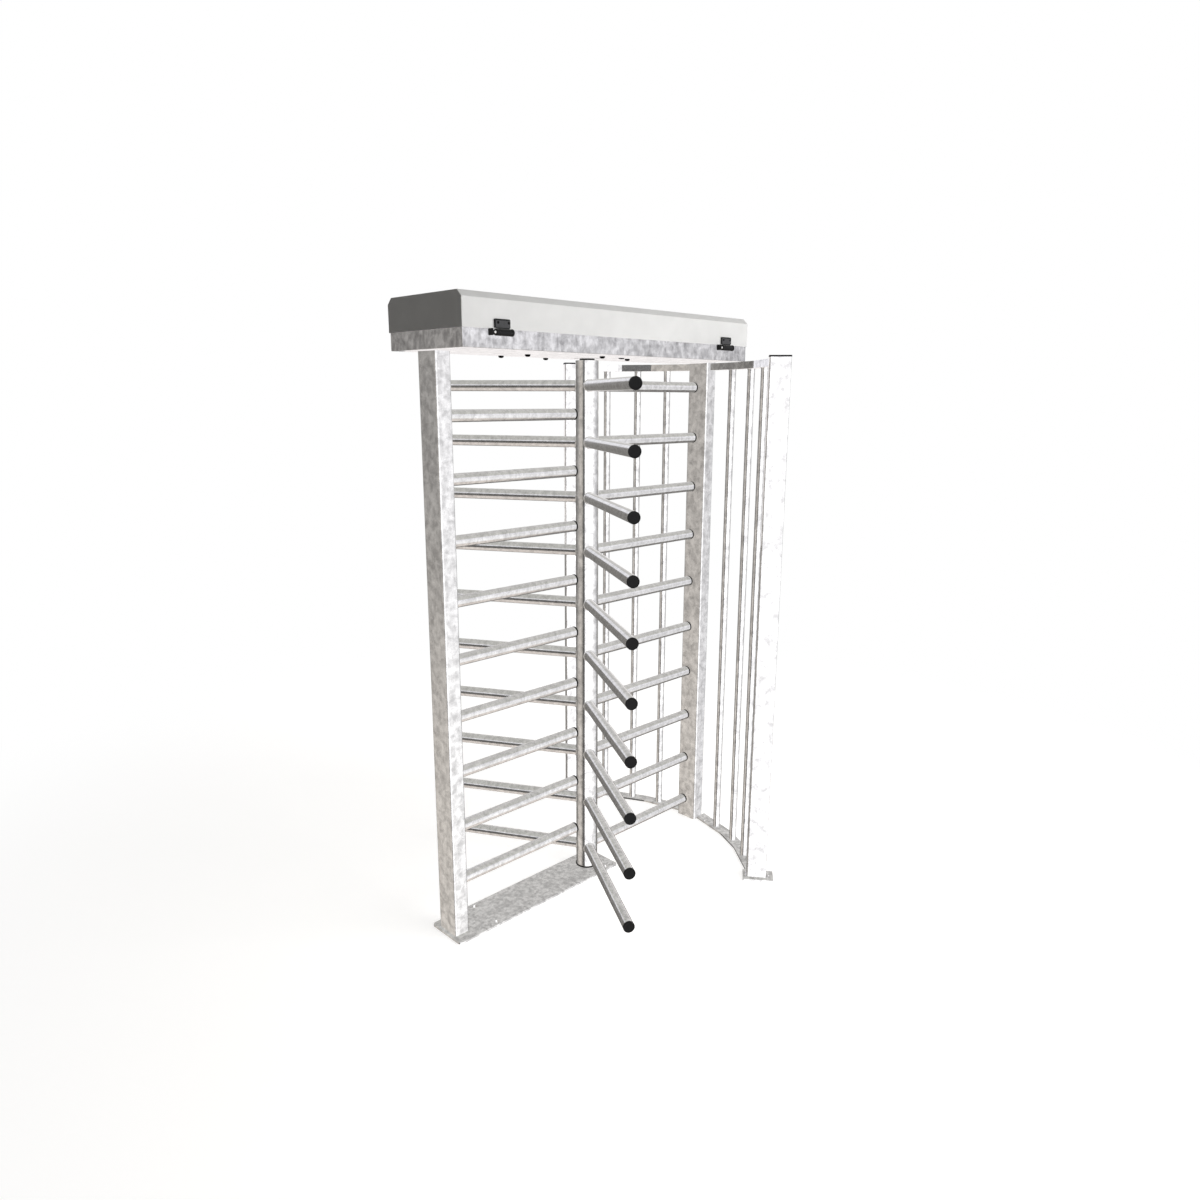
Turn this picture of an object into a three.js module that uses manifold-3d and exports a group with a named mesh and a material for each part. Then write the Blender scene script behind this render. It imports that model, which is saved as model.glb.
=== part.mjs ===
// Full height turnstile with one three-wing rotor of ten arms a wing.
// Millimetres, +Z up. The origin is on the rotor axis at the underside of the base plate, +X runs
// along the head box from the barrier to the passage side, and -Y is the side of the cover's hinges.
import * as THREE from "three";
import { mergeVertices } from "three/addons/utils/BufferGeometryUtils.js";
import Module from "manifold-3d";

const wasm = await Module();
wasm.setup();

// Facets, clearances and how far a cutting tool overruns the face that it cuts
const tube_sides = 12;
const round_sides = 24;
const arc_steps = 6;
const corner_steps = 2;
const fit_gap = 0.3;
const running_gap = 0.6;
const overrun = 5;

// Frame: clear height under the head, the line that the posts and the barrier stand on, and the
// gaps from the tips of the arms to the two posts
const clear_height = 2100;
const frame_line = -8;
const post_width = 60;
const post_depth = 100;
const post_wall = 3;
const post_corner = 6;
const left_post_gap = 27.5;
const right_post_gap = 12.5;

// Base plate with its four anchor holes
const base_thickness = 8;
const base_beyond_post = 10;
const base_right = 90;
const base_depth = 180;
const base_corner = 16;
const base_square_corner = 2;
const anchor_hole = 8;
const anchor_edge = 20;
const anchor_from_post = 145;
const anchor_from_end = 52;

// Rotor: column, wings of arms, and the journal that goes up into the head
const column_radius = 44.45;
const column_wall = 4;
const column_plug = 20;
const head_seal_drop = 6;
const journal_radius = 25;
const journal_height = 78;
const wing_count = 3;
const arm_count = 10;
const top_arm_drop = 100;
const lowest_arm_z = 96.5;
const arm_reach = 637.5;
const tube_radius = 21.2;
const tube_wall = 2.6;
const tube_cap_radius = 22.6;
const tube_cap_thickness = 4;
const tube_cap_chamfer = 1;

// Barrier bars stand half a pitch below the arms and end short of the column
const bar_end_gap = 31;

// Curved guard of vertical bars on the passage side, one half each side of the right post
const guard_gap = 26.5;
const guard_bars = 3;
const guard_first_angle = 15.1;
const guard_bar_step = 11.7;
const guard_bar_radius = 15;
const guard_bar_inset = 26;
const rail_width = 53;
const top_rail_height = 28;
const bottom_rail_height = 8;
const rail_hole_angle = 9.3;
const rail_hole_inset = 15;
const end_post_angle = 52.5;
const end_post_length = 80;
const end_post_width = 50;
const end_post_corner = 5;
const end_post_inset = 13;
const end_post_above_rail = 4;
const end_cap_thickness = 6;
const end_cap_lip = 1.2;
const foot_length = 125;
const foot_width = 80;
const foot_inner_lip = 15;
const foot_hole = 6;

// Head box: folded tray below, hinged cover above
const tray_beyond_post = 53;
const tray_end_gap = 34;
const tray_front = 279;
const tray_back = 113;
const tray_sheet = 3;
const tray_rim_height = 70;
const tray_rim_width = 15;
const tray_shown = 57;
const cover_sheet = 2.5;
const cover_side_gap = 1;
const cover_side_height = 87.5;
const cover_rise = 20;
const cover_slope = 21;

// Lug that ties the right post to the end of the tray
const lug_height = 46;
const post_above_tray = 50;

// Cover hinges
const hinge_inset = 142;
const knuckle_radius = 10.5;
const knuckle_back_gap = 0.5;
const hinge_below_cover = 9.5;
const hinge_length = 90;
const long_knuckle_length = 30;
const short_knuckle_length = 14;
const knuckle_side_gap = 1;
const hinge_pin_radius = 4;
const hinge_pad_height = 14;
const leaf_width = 60;
const leaf_height = 30;
const leaf_thickness = 4;

// Column bearings
const floor_ring_radius = 47;
const floor_ring_height = 3.7;
const spigot_height = 36;
const seal_radius = 46;
const bearing_flange_radius = 65;
const bearing_flange_height = 11;
const bearing_hub_radius = 45;
const bearing_hub_height = 9;

// Lock wheel: a toothed rim for the damper above three stop lugs for the pawls
const gear_module = 4;
const wheel_teeth = 45;
const pinion_teeth = 15;
const gear_backlash = 0.8;
const addendum_share = 0.9;
const dedendum_share = 1.25;
const pressure_angle = 20;
const gear_thickness = 12;
const lug_disc_radius = 60;
const lug_reach = 81;
const lug_half_angle = 4;
const lug_layer_height = 14;
const lug_layer_gap = 4;
const wheel_hole_radius = 8;
const wheel_hole_count = 9;
const wheel_lift = 5;

// Lock pawls on rotary solenoids
const lock_angle = 12;
const pawl_tip_track = 76;
const pawl_length = 80;
const pawl_lean = 25;
const pawl_swing = 10;
const pawl_hub_radius = 11;
const pawl_tip_radius = 5;
const pawl_thickness = 12;
const pawl_pin_radius = 6;
const solenoid_radius = 20;
const lock_plate_sheet = 5;
const lock_plate_margin = 26;
const lock_plate_front = 150;
const lock_plate_back = 72;

// Rotary damper
const damper_radius = 28;
const damper_foot_length = 84;
const damper_foot_width = 34;
const damper_foot_height = 5;
const damper_shaft_radius = 8;
const damper_bore_depth = 22;
const pinion_gap = 4;

// Quarter-turn lock of the cover, with the notch that its hook passes in the tray's rim
const lock_above_rim = 15;
const lock_plug_radius = 9;
const lock_head_radius = 12;
const lock_head_height = 3;
const hook_length = 27;
const hook_width = 8;
const hook_toe = 12;
const hook_toe_width = 6;
const hook_sheet = 3;
const hook_behind_wall = 10;
const notch_margin = 1;

// Places, heights and faces that follow from the sizes above
const left_post_x = -(arm_reach + left_post_gap + post_width / 2);
const right_post_x = arm_reach + right_post_gap + post_width / 2;
const base_left = -left_post_x + post_width / 2 + base_beyond_post;
const anchor_left_x = left_post_x + anchor_from_post;
const anchor_right_x = base_right - anchor_from_end;
const top_arm_z = clear_height - top_arm_drop;
const arm_pitch = (top_arm_z - lowest_arm_z) / (arm_count - 1);
const bar_count = arm_count - 1;
const rail_inner_radius = arm_reach + guard_gap;
const rail_outer_radius = rail_inner_radius + rail_width;
const guard_radius = rail_inner_radius + guard_bar_inset;
const end_post_inner = rail_inner_radius + end_post_inset;
const end_post_height = clear_height + end_post_above_rail;
const tray_left = -left_post_x + post_width / 2 + tray_beyond_post;
const tray_right = right_post_x - post_width / 2 - tray_end_gap;
const tray_floor_z = clear_height + tray_sheet;
const tray_rim_z = clear_height + tray_rim_height;
const cover_edge_z = clear_height + tray_shown;
const cover_chamfer_z = cover_edge_z + cover_side_height;
const cover_top_z = cover_chamfer_z + cover_rise;
const cover_front = tray_front + cover_side_gap + cover_sheet;
const cover_back = tray_back + cover_side_gap + cover_sheet;
const cover_left = tray_left + cover_side_gap + cover_sheet;
const cover_right = tray_right + cover_side_gap + cover_sheet;
const column_bottom_z = base_thickness + fit_gap + floor_ring_height + fit_gap;
const column_top_z = clear_height - head_seal_drop;
const wheel_z = tray_floor_z + bearing_flange_height + bearing_hub_height + wheel_lift;
const gear_z = wheel_z + lug_layer_height + lug_layer_gap;
const wheel_pitch_radius = (gear_module * wheel_teeth) / 2;
const pinion_pitch_radius = (gear_module * pinion_teeth) / 2;
const damper_x = -(wheel_pitch_radius + pinion_pitch_radius);

const rad = THREE.MathUtils.degToRad;

// Finishes
const galvanised = { color: 0xb4b2ae, roughness: 0.5, metalness: 0.8 };
const grey_paint = { color: 0xcfcfcd, roughness: 0.55, metalness: 0 };
const black_steel = { color: 0x1c1c1c, roughness: 0.45, metalness: 0.2 };
const black_plastic = { color: 0x161616, roughness: 0.6, metalness: 0 };
const machined_steel = { color: 0x9a9c9e, roughness: 0.35, metalness: 0.9 };
const lock_steel = { color: 0xc3c5c7, roughness: 0.3, metalness: 1 };

// Turns a closed geometry into a solid
function solid(geometry) {
  const bare = geometry.clone();
  bare.deleteAttribute("normal");
  bare.deleteAttribute("uv");
  const merged = mergeVertices(bare, 1e-4);
  const vertProperties = new Float32Array(merged.attributes.position.array);
  const triVerts = new Uint32Array(merged.index.array);
  return new wasm.Manifold(new wasm.Mesh({ numProp: 3, vertProperties, triVerts }));
}

function joined(first, ...others) {
  return others.reduce((sum, other) => sum.add(solid(other)), solid(first));
}

function cutBy(body, ...tools) {
  return tools.reduce((rest, tool) => rest.subtract(solid(tool)), body);
}

function geometryOf(body) {
  const mesh = body.getMesh();
  const geometry = new THREE.BufferGeometry();
  const points = [];
  for (let i = 0; i < mesh.vertProperties.length; i += mesh.numProp) {
    points.push(...mesh.vertProperties.slice(i, i + 3));
  }
  geometry.setAttribute("position", new THREE.Float32BufferAttribute(points, 3));
  geometry.setIndex([...mesh.triVerts]);
  geometry.computeVertexNormals();
  return geometry;
}

// A box between two corners
function block(x0, x1, y0, y1, z0, z1) {
  const geometry = new THREE.BoxGeometry(x1 - x0, y1 - y0, z1 - z0);
  return geometry.translate((x0 + x1) / 2, (y0 + y1) / 2, (z0 + z1) / 2);
}

// A round body about Z from a profile of radius and height pairs
function turned(profile, sides) {
  const points = profile.map(([radius, height]) => new THREE.Vector2(radius, height));
  return new THREE.LatheGeometry(points, sides).rotateX(Math.PI / 2);
}

function rod(radius, z0, z1, sides) {
  return turned([[0, z0], [radius, z0], [radius, z1], [0, z1]], sides);
}

function plate(shape, z0, z1, steps = arc_steps) {
  return new THREE.ExtrudeGeometry(shape, {
    depth: z1 - z0,
    bevelEnabled: false,
    curveSegments: steps,
  }).translate(0, 0, z0);
}

// Draws a rectangle with rounded corners from -x to x and from -y to y
function roundedRectangle(path, x, y, corner) {
  path.moveTo(corner - x, -y);
  path.absarc(x - corner, corner - y, corner, rad(-90), 0, false);
  path.absarc(x - corner, y - corner, corner, 0, rad(90), false);
  path.absarc(corner - x, y - corner, corner, rad(90), rad(180), false);
  path.absarc(corner - x, corner - y, corner, rad(180), rad(270), false);
  return path;
}

// Upright bar of rounded rectangular section
function roundedBar(x, y, corner, z0, z1) {
  return plate(roundedRectangle(new THREE.Shape(), x, y, corner), z0, z1, corner_steps);
}

// Radius of a faceted hole whose flats clear a round pin by the given gap
function holeRound(radius, gap, sides) {
  return (radius + gap) / Math.cos(Math.PI / sides);
}

function onCircle(radius, degrees) {
  return new THREE.Vector2(radius * Math.cos(rad(degrees)), radius * Math.sin(rad(degrees)));
}

function outline(points) {
  return new THREE.Shape(points.map((point) => new THREE.Vector2(point.x, point.y)));
}

const turnstile = new THREE.Group();

function piece(name, geometry, finish, parent = turnstile) {
  const mesh = new THREE.Mesh(geometry, new THREE.MeshStandardMaterial(finish));
  mesh.name = name;
  parent.add(mesh);
  return mesh;
}

// Base plate under the barrier and the rotor, with rounded corners at the rotor's end
function basePlate() {
  const half = base_depth / 2;
  const shape = new THREE.Shape();
  shape.moveTo(-base_left + base_square_corner, -half);
  shape.lineTo(base_right - base_corner, -half);
  shape.absarc(base_right - base_corner, -half + base_corner, base_corner, rad(-90), 0, false);
  shape.lineTo(base_right, half - base_corner);
  shape.absarc(base_right - base_corner, half - base_corner, base_corner, 0, rad(90), false);
  shape.lineTo(-base_left + base_square_corner, half);
  shape.lineTo(-base_left, half - base_square_corner);
  shape.lineTo(-base_left, -half + base_square_corner);
  for (const x of [anchor_left_x, anchor_right_x]) {
    for (const y of [-half + anchor_edge, half - anchor_edge]) {
      const hole = new THREE.Path();
      hole.absarc(x, y, anchor_hole, 0, 2 * Math.PI, true);
      shape.holes.push(hole);
    }
  }
  piece("base_plate", plate(shape, 0, base_thickness), galvanised).position.y = frame_line;
}

// Rectangular post tube, open at both ends. The right post's top gets a welded lid.
function postTube(z0, z1) {
  const x = post_width / 2;
  const y = post_depth / 2;
  const wall = post_wall;
  const tube = solid(roundedBar(x, y, post_corner, z0, z1));
  return cutBy(tube, roundedBar(x - wall, y - wall, post_corner - wall, z0 - overrun, z1 + overrun));
}

function posts() {
  const left = postTube(base_thickness + fit_gap, clear_height - fit_gap);
  piece("left_post", geometryOf(left), galvanised).position.set(left_post_x, frame_line, 0);

  const top = clear_height + post_above_tray;
  const reach = right_post_x - tray_right - fit_gap;
  const face = post_width / 2;
  const side = post_depth / 2;
  const y = side - post_wall;
  const lid = roundedBar(face, side, post_corner, top - post_wall, top);
  const lug = block(-reach, -face + post_wall / 2, -y, y, clear_height, clear_height + lug_height);
  const welded = postTube(0, top).add(solid(lid)).add(solid(lug));
  piece("right_post", geometryOf(welded), galvanised).position.set(right_post_x, frame_line, 0);
}

// Round tube along +X from x0 to x1, open at x0 and closed by a black cap at x1
function cappedTube(x0, x1) {
  const bore = tube_radius - tube_wall;
  const cap = x1 - tube_cap_thickness;
  const profile = [
    [0, cap],
    [bore, cap],
    [bore, x0],
    [tube_radius, x0],
    [tube_radius, cap],
    [tube_cap_radius, cap],
    [tube_cap_radius, x1 - tube_cap_chamfer],
    [tube_cap_radius - tube_cap_chamfer, x1],
    [0, x1],
  ];
  return turned(profile, tube_sides).rotateY(Math.PI / 2);
}

function barrier() {
  const start = left_post_x + post_width / 2 + fit_gap;
  const end = -(column_radius + bar_end_gap);
  const tube = cappedTube(start, end);
  for (let i = 0; i < bar_count; i++) {
    const bar = piece(`barrier_bar_${i + 1}`, tube, galvanised);
    bar.position.set(0, frame_line, top_arm_z - arm_pitch * (i + 0.5));
  }
}

// Rotor column: tube open at the foot for the pivot, closed above by the plug of its journal
const rotor = new THREE.Group();
turnstile.add(rotor);

function rotorColumn() {
  const bore = column_radius - column_wall;
  const plug = column_top_z - column_plug;
  const top = column_top_z + journal_height;
  const profile = [
    [0, plug],
    [bore, plug],
    [bore, column_bottom_z],
    [column_radius, column_bottom_z],
    [column_radius, column_top_z],
    [journal_radius, column_top_z],
    [journal_radius, top],
    [0, top],
  ];
  piece("rotor_column", turned(profile, round_sides), galvanised, rotor);
}

// Arms meet the column in a saddle cut that follows it
function rotorArms() {
  const saddle = holeRound(column_radius, fit_gap, round_sides);
  const tube = solid(cappedTube(column_radius - tube_radius / 2, arm_reach));
  const tool = rod(saddle, -tube_cap_radius - overrun, tube_cap_radius + overrun, round_sides);
  const arm = geometryOf(cutBy(tube, tool));
  for (let wing = 0; wing < wing_count; wing++) {
    const turn = new THREE.Group();
    turn.rotation.z = (2 * Math.PI * wing) / wing_count;
    rotor.add(turn);
    for (let i = 0; i < arm_count; i++) {
      const name = `wing_${wing + 1}_arm_${i + 1}`;
      piece(name, arm, galvanised, turn).position.z = top_arm_z - arm_pitch * i;
    }
  }
}

// Half of the guard: rails in straight lengths with a bend midway between bars, the bars,
// and the end post with its cap and foot. side is -1 at the hinge side and 1 at the other.
function railShape(side) {
  const start_y = post_depth / 2 + fit_gap;
  const along = onCircle(1, end_post_angle);
  const across = onCircle(1, end_post_angle - 90);
  const seat = end_post_width / 2 - post_wall;
  const bend = 1 / Math.cos(rad(guard_bar_step / 2));
  const inner = [];
  const outer = [];
  for (let i = 0; i < guard_bars; i++) {
    const angle = guard_first_angle + guard_bar_step * (i + 0.5);
    inner.push(onCircle(rail_inner_radius * bend, angle));
    outer.push(onCircle(rail_outer_radius * bend, angle));
  }
  const end = [rail_inner_radius, rail_outer_radius].map((radius) =>
    along.clone().multiplyScalar(Math.max(radius, end_post_inner + post_wall)).addScaledVector(
      across,
      seat
    )
  );
  const shown_y = start_y + side * frame_line;
  const first = [rail_inner_radius, rail_outer_radius].map((radius, i) => {
    const bend_point = [inner, outer][i][0];
    const angle = guard_first_angle - guard_bar_step / 2;
    const near = onCircle(radius * bend, angle);
    const share = (shown_y - near.y) / (bend_point.y - near.y);
    return near.lerp(bend_point, share);
  });
  const points = [first[0], ...inner, end[0], end[1], ...outer.reverse(), first[1]];
  return outline(points.map((point) => new THREE.Vector2(point.x, side * point.y)));
}

function guardHalf(name, side) {
  const top = clear_height - fit_gap;
  const shape = railShape(side);
  let body = joined(
    plate(shape, top - top_rail_height, top),
    plate(shape, 0, bottom_rail_height)
  );
  const bite = bottom_rail_height / 2;
  for (let i = 0; i < guard_bars; i++) {
    const at = onCircle(guard_radius, guard_first_angle + guard_bar_step * i);
    const bar = rod(guard_bar_radius, bite, top - top_rail_height + bite, round_sides);
    body = body.add(solid(bar.translate(at.x, side * at.y, 0)));
  }

  const turn = rad(side * end_post_angle);
  const r0 = end_post_inner;
  const r1 = end_post_inner + end_post_length;
  const half = end_post_width / 2;
  const lip = end_cap_lip;
  const wall = post_wall;
  const foot0 = end_post_inner - foot_inner_lip;
  const foot1 = foot0 + foot_length;
  const cap_z = end_post_height + end_cap_thickness;
  const long = end_post_length / 2;
  const corner = end_post_corner;
  const post = roundedBar(long, half, corner, bite, end_post_height);
  const cap = roundedBar(long + lip, half + lip, corner + lip, end_post_height, cap_z);
  const foot = block(foot0, foot1, -foot_width / 2, foot_width / 2, 0, bottom_rail_height);
  const bore_top = end_post_height - wall;
  const bore = roundedBar(long - wall, half - wall, corner - wall, -overrun, bore_top);
  const foot_bolt = rod(foot_hole, -overrun, bottom_rail_height + overrun, tube_sides);
  const rail_bolt = foot_bolt.clone();
  const rail_at = onCircle(rail_inner_radius + rail_hole_inset, rail_hole_angle);
  for (const part of [post, cap, bore]) {
    part.translate(r0 + long, 0, 0);
  }
  foot_bolt.translate((r1 + foot1) / 2, 0, 0);
  rail_bolt.translate(rail_at.x, side * rail_at.y, 0);
  for (const part of [post, cap, foot]) {
    body = body.add(solid(part.rotateZ(turn)));
  }
  body = cutBy(body, bore.rotateZ(turn), foot_bolt.rotateZ(turn), rail_bolt);
  piece(name, geometryOf(body), galvanised);
}

// Pivot under the column: a black ring that shows, and a spigot inside the tube
function floorBearing() {
  const z0 = base_thickness + fit_gap;
  const ring_top = z0 + floor_ring_height;
  const bore = (column_radius - column_wall) * Math.cos(Math.PI / round_sides);
  const spigot = bore - running_gap;
  const profile = [
    [0, z0],
    [floor_ring_radius, z0],
    [floor_ring_radius, ring_top],
    [spigot, ring_top],
    [spigot, ring_top + spigot_height],
    [0, ring_top + spigot_height],
  ];
  piece("floor_bearing", turned(profile, round_sides), black_plastic);
}

// Bearing on the tray floor, whose neck shows as a black ring between column and tray
function topBearing() {
  const bore = holeRound(journal_radius, running_gap, round_sides);
  const neck_z = column_top_z + fit_gap;
  const flange_z = tray_floor_z + fit_gap;
  const flange_top = tray_floor_z + bearing_flange_height;
  const hub_top = flange_top + bearing_hub_height;
  const profile = [
    [bore, neck_z],
    [seal_radius, neck_z],
    [seal_radius, flange_z],
    [bearing_flange_radius, flange_z],
    [bearing_flange_radius, flange_top],
    [bearing_hub_radius, flange_top],
    [bearing_hub_radius, hub_top],
    [bore, hub_top],
    [bore, neck_z],
  ];
  piece("top_bearing", turned(profile, round_sides), black_steel);
}

// Folded tray with a return rim, a hole for the bearing's neck and a notch for the cover lock
const cover_lock_x = (tray_right - tray_left) / 2;

function headTray() {
  const sheet = tray_sheet;
  const rim = tray_rim_width;
  const wall = solid(block(-tray_left, tray_right, -tray_front, tray_back, clear_height, tray_rim_z));
  const room = block(
    -tray_left + sheet,
    tray_right - sheet,
    -tray_front + sheet,
    tray_back - sheet,
    tray_floor_z,
    tray_rim_z - sheet
  );
  const mouth = block(
    -tray_left + rim,
    tray_right - rim,
    -tray_front + rim,
    tray_back - rim,
    tray_floor_z + sheet,
    tray_rim_z + overrun
  );
  const neck = holeRound(seal_radius, fit_gap, round_sides);
  const neck_hole = rod(neck, clear_height - overrun, tray_floor_z + overrun, round_sides);
  const hook_sweep = Math.hypot(hook_length, hook_toe);
  const notch = block(
    cover_lock_x - hook_width / 2 - notch_margin,
    cover_lock_x + hook_sweep,
    tray_back - rim - overrun,
    tray_back - sheet,
    tray_rim_z - sheet - overrun,
    tray_rim_z + overrun
  );
  const tray = cutBy(wall, room, mouth, neck_hole, notch);
  piece("head_tray", geometryOf(tray), galvanised);
}

// Cover like a lid with both long edges chamfered, and the hole of its lock
function coverShape(inset) {
  const front = -cover_front + inset;
  const back = cover_back - inset;
  const slant = inset * Math.tan(rad(45) / 2);
  const low = inset > 0 ? cover_edge_z - overrun : cover_edge_z;
  const top = cover_top_z - inset;
  const knee = cover_chamfer_z - slant;
  return outline([
    new THREE.Vector2(front, low),
    new THREE.Vector2(back, low),
    new THREE.Vector2(back, knee),
    new THREE.Vector2(back - cover_slope + slant, top),
    new THREE.Vector2(front + cover_slope - slant, top),
    new THREE.Vector2(front, knee),
  ]);
}

// Stands an outline drawn in Y and Z up across the X axis, from x0 to x1
function acrossX(shape, x0, x1) {
  const geometry = plate(shape, x0, x1);
  return geometry.applyMatrix4(new THREE.Matrix4().set(0, 0, 1, 0, 1, 0, 0, 0, 0, 1, 0, 0, 0, 0, 0, 1));
}

const cover_lock_z = tray_rim_z + lock_above_rim;

// A round body about an axis along Y, through x and z, from y0 to y1
function rodAlongY(radius, x, y0, y1, z, sides) {
  return rod(radius, -y1, -y0, sides).rotateX(Math.PI / 2).translate(x, 0, z);
}

function headCover() {
  const shell = solid(acrossX(coverShape(0), -cover_left, cover_right));
  const room = acrossX(coverShape(cover_sheet), -cover_left + cover_sheet, cover_right - cover_sheet);
  const hole = holeRound(lock_plug_radius, fit_gap, round_sides);
  const wall = cover_back - cover_sheet;
  const y0 = wall - overrun;
  const y1 = cover_back + overrun;
  const lock_hole = rodAlongY(hole, cover_lock_x, y0, y1, cover_lock_z, round_sides);
  piece("head_cover", geometryOf(cutBy(shell, room, lock_hole)), grey_paint);
}

// Cover lock: plug with a hook that points along the rim when open and under it when locked
function coverLock() {
  const x = cover_lock_x;
  const z = cover_lock_z;
  const wall = cover_back;
  const hook_back = tray_back - hook_behind_wall;
  const hook_front = hook_back - hook_sheet;
  const half = hook_width / 2;
  const toe = x + hook_length - hook_toe_width;
  const head = wall + fit_gap + lock_head_height;
  const body = joined(
    rodAlongY(lock_plug_radius, x, hook_front, wall + fit_gap + lock_head_height / 2, z, round_sides),
    rodAlongY(lock_head_radius, x, wall + fit_gap, head, z, round_sides),
    block(x, x + hook_length, hook_front, hook_back, z - half, z + half),
    block(toe, x + hook_length, hook_front, hook_back, z - hook_toe, z + half)
  );
  piece("cover_lock", geometryOf(body), lock_steel);
}

// Hinges on the front: a long and a short fixed knuckle with the pin on the tray, and between them
// the knuckle of the leaf on the cover
const hinge_y = -(tray_front + knuckle_back_gap + knuckle_radius);
const hinge_z = cover_edge_z - hinge_below_cover;

function rodAlongX(radius, x0, x1, sides) {
  return rod(radius, x0, x1, sides).rotateY(Math.PI / 2).translate(0, hinge_y, hinge_z);
}

function hinge(side, centre_x) {
  const half = hinge_length / 2;
  const from = -half + long_knuckle_length;
  const to = half - short_knuckle_length;
  const pin_bore = holeRound(hinge_pin_radius, running_gap, tube_sides);
  const bite = short_knuckle_length / 2;
  const pad_front = hinge_y + knuckle_radius / 2;
  const pad_back = -tray_front - fit_gap;
  const low = hinge_z - hinge_pad_height / 2;
  const high = hinge_z + hinge_pad_height / 2;
  const fixed = joined(
    rodAlongX(knuckle_radius, -half, from, tube_sides),
    rodAlongX(knuckle_radius, to, half, tube_sides),
    rodAlongX(hinge_pin_radius, from - bite, to + bite, tube_sides),
    block(-half, from, pad_front, pad_back, low, high),
    block(to, half, pad_front, pad_back, low, high)
  );
  piece(`hinge_bracket_${side}`, geometryOf(fixed), black_steel).position.x = centre_x;

  const leaf_from = from + knuckle_side_gap;
  const leaf_to = to - knuckle_side_gap;
  const leaf_back = -cover_front - fit_gap;
  const leaf_front = leaf_back - leaf_thickness;
  const top = cover_edge_z + leaf_height;
  const shape = outline([
    new THREE.Vector2(leaf_from, hinge_z),
    new THREE.Vector2(leaf_to, hinge_z),
    new THREE.Vector2(leaf_to, hinge_z + knuckle_radius),
    new THREE.Vector2(leaf_width / 2, hinge_z + 2 * knuckle_radius),
    new THREE.Vector2(leaf_width / 2, top),
    new THREE.Vector2(-leaf_width / 2, top),
    new THREE.Vector2(-leaf_width / 2, hinge_z + 2 * knuckle_radius),
    new THREE.Vector2(leaf_from, hinge_z + knuckle_radius),
  ]);
  const leaf = plate(shape, -leaf_back, -leaf_front).rotateX(Math.PI / 2);
  const moving = cutBy(
    joined(rodAlongX(knuckle_radius, leaf_from, leaf_to, tube_sides), leaf),
    rodAlongX(pin_bore, -half, half, tube_sides)
  );
  piece(`hinge_leaf_${side}`, geometryOf(moving), black_steel).position.x = centre_x;
}

// Involute gear outline with a tooth centred on +X
function gearShape(teeth) {
  const pitch = (gear_module * teeth) / 2;
  const base = pitch * Math.cos(rad(pressure_angle));
  const root = pitch - dedendum_share * gear_module;
  const tip = pitch + addendum_share * gear_module;
  const involute = (radius) => {
    const angle = Math.acos(Math.min(1, base / radius));
    return Math.tan(angle) - angle;
  };
  const at_pitch = Math.PI / (2 * teeth) - gear_backlash / (4 * pitch) + involute(pitch);
  const flank = [Math.max(base, root), pitch, tip].map((r) => [r, at_pitch - involute(r)]);
  if (root < base) flank.unshift([root, flank[0][1]]);
  const points = [];
  for (let i = 0; i < teeth; i++) {
    const centre = (2 * Math.PI * i) / teeth;
    const rising = flank.map(([r, half]) => [r, centre - half]);
    const falling = flank.map(([r, half]) => [r, centre + half]).reverse();
    for (const [r, angle] of [...rising, ...falling]) {
      points.push(new THREE.Vector2(r * Math.cos(angle), r * Math.sin(angle)));
    }
  }
  return outline(points);
}

// Disc with three stop lugs, one of them towards -Y at rest
function lugShape() {
  const shape = new THREE.Shape();
  const step = 360 / wing_count;
  for (let i = 0; i < wing_count; i++) {
    const centre = -90 + step * i;
    const low = centre - lug_half_angle;
    const high = centre + lug_half_angle;
    const start = onCircle(lug_disc_radius, low);
    if (i === 0) shape.moveTo(start.x, start.y);
    const out = onCircle(lug_reach, low);
    shape.lineTo(out.x, out.y);
    shape.absarc(0, 0, lug_reach, rad(low), rad(high), false);
    const back = onCircle(lug_disc_radius, high);
    shape.lineTo(back.x, back.y);
    shape.absarc(0, 0, lug_disc_radius, rad(high), rad(low + step), false);
  }
  return shape;
}

function lockWheel() {
  const gear_top = gear_z + gear_thickness;
  const hub = rod(lug_disc_radius - lug_layer_gap, wheel_z, gear_top, round_sides);
  const bore = holeRound(journal_radius, fit_gap, round_sides);
  const ring = (lug_disc_radius + wheel_pitch_radius) / 2;
  const holes = [];
  for (let i = 0; i < wheel_hole_count; i++) {
    const at = onCircle(ring, (360 * (i + 0.5)) / wheel_hole_count);
    const hole = rod(wheel_hole_radius, gear_z - overrun, gear_top + overrun, tube_sides);
    holes.push(hole.translate(at.x, at.y, 0));
  }
  const rim = cutBy(solid(plate(gearShape(wheel_teeth), gear_z, gear_top)), ...holes);
  const lugs = solid(plate(lugShape(), wheel_z, wheel_z + lug_layer_height));
  const wheel = rim.add(lugs).add(solid(hub));
  const cut = cutBy(wheel, rod(bore, wheel_z - overrun, gear_top + overrun, round_sides));
  piece("lock_wheel", geometryOf(cut), machined_steel, rotor);
}

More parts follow.
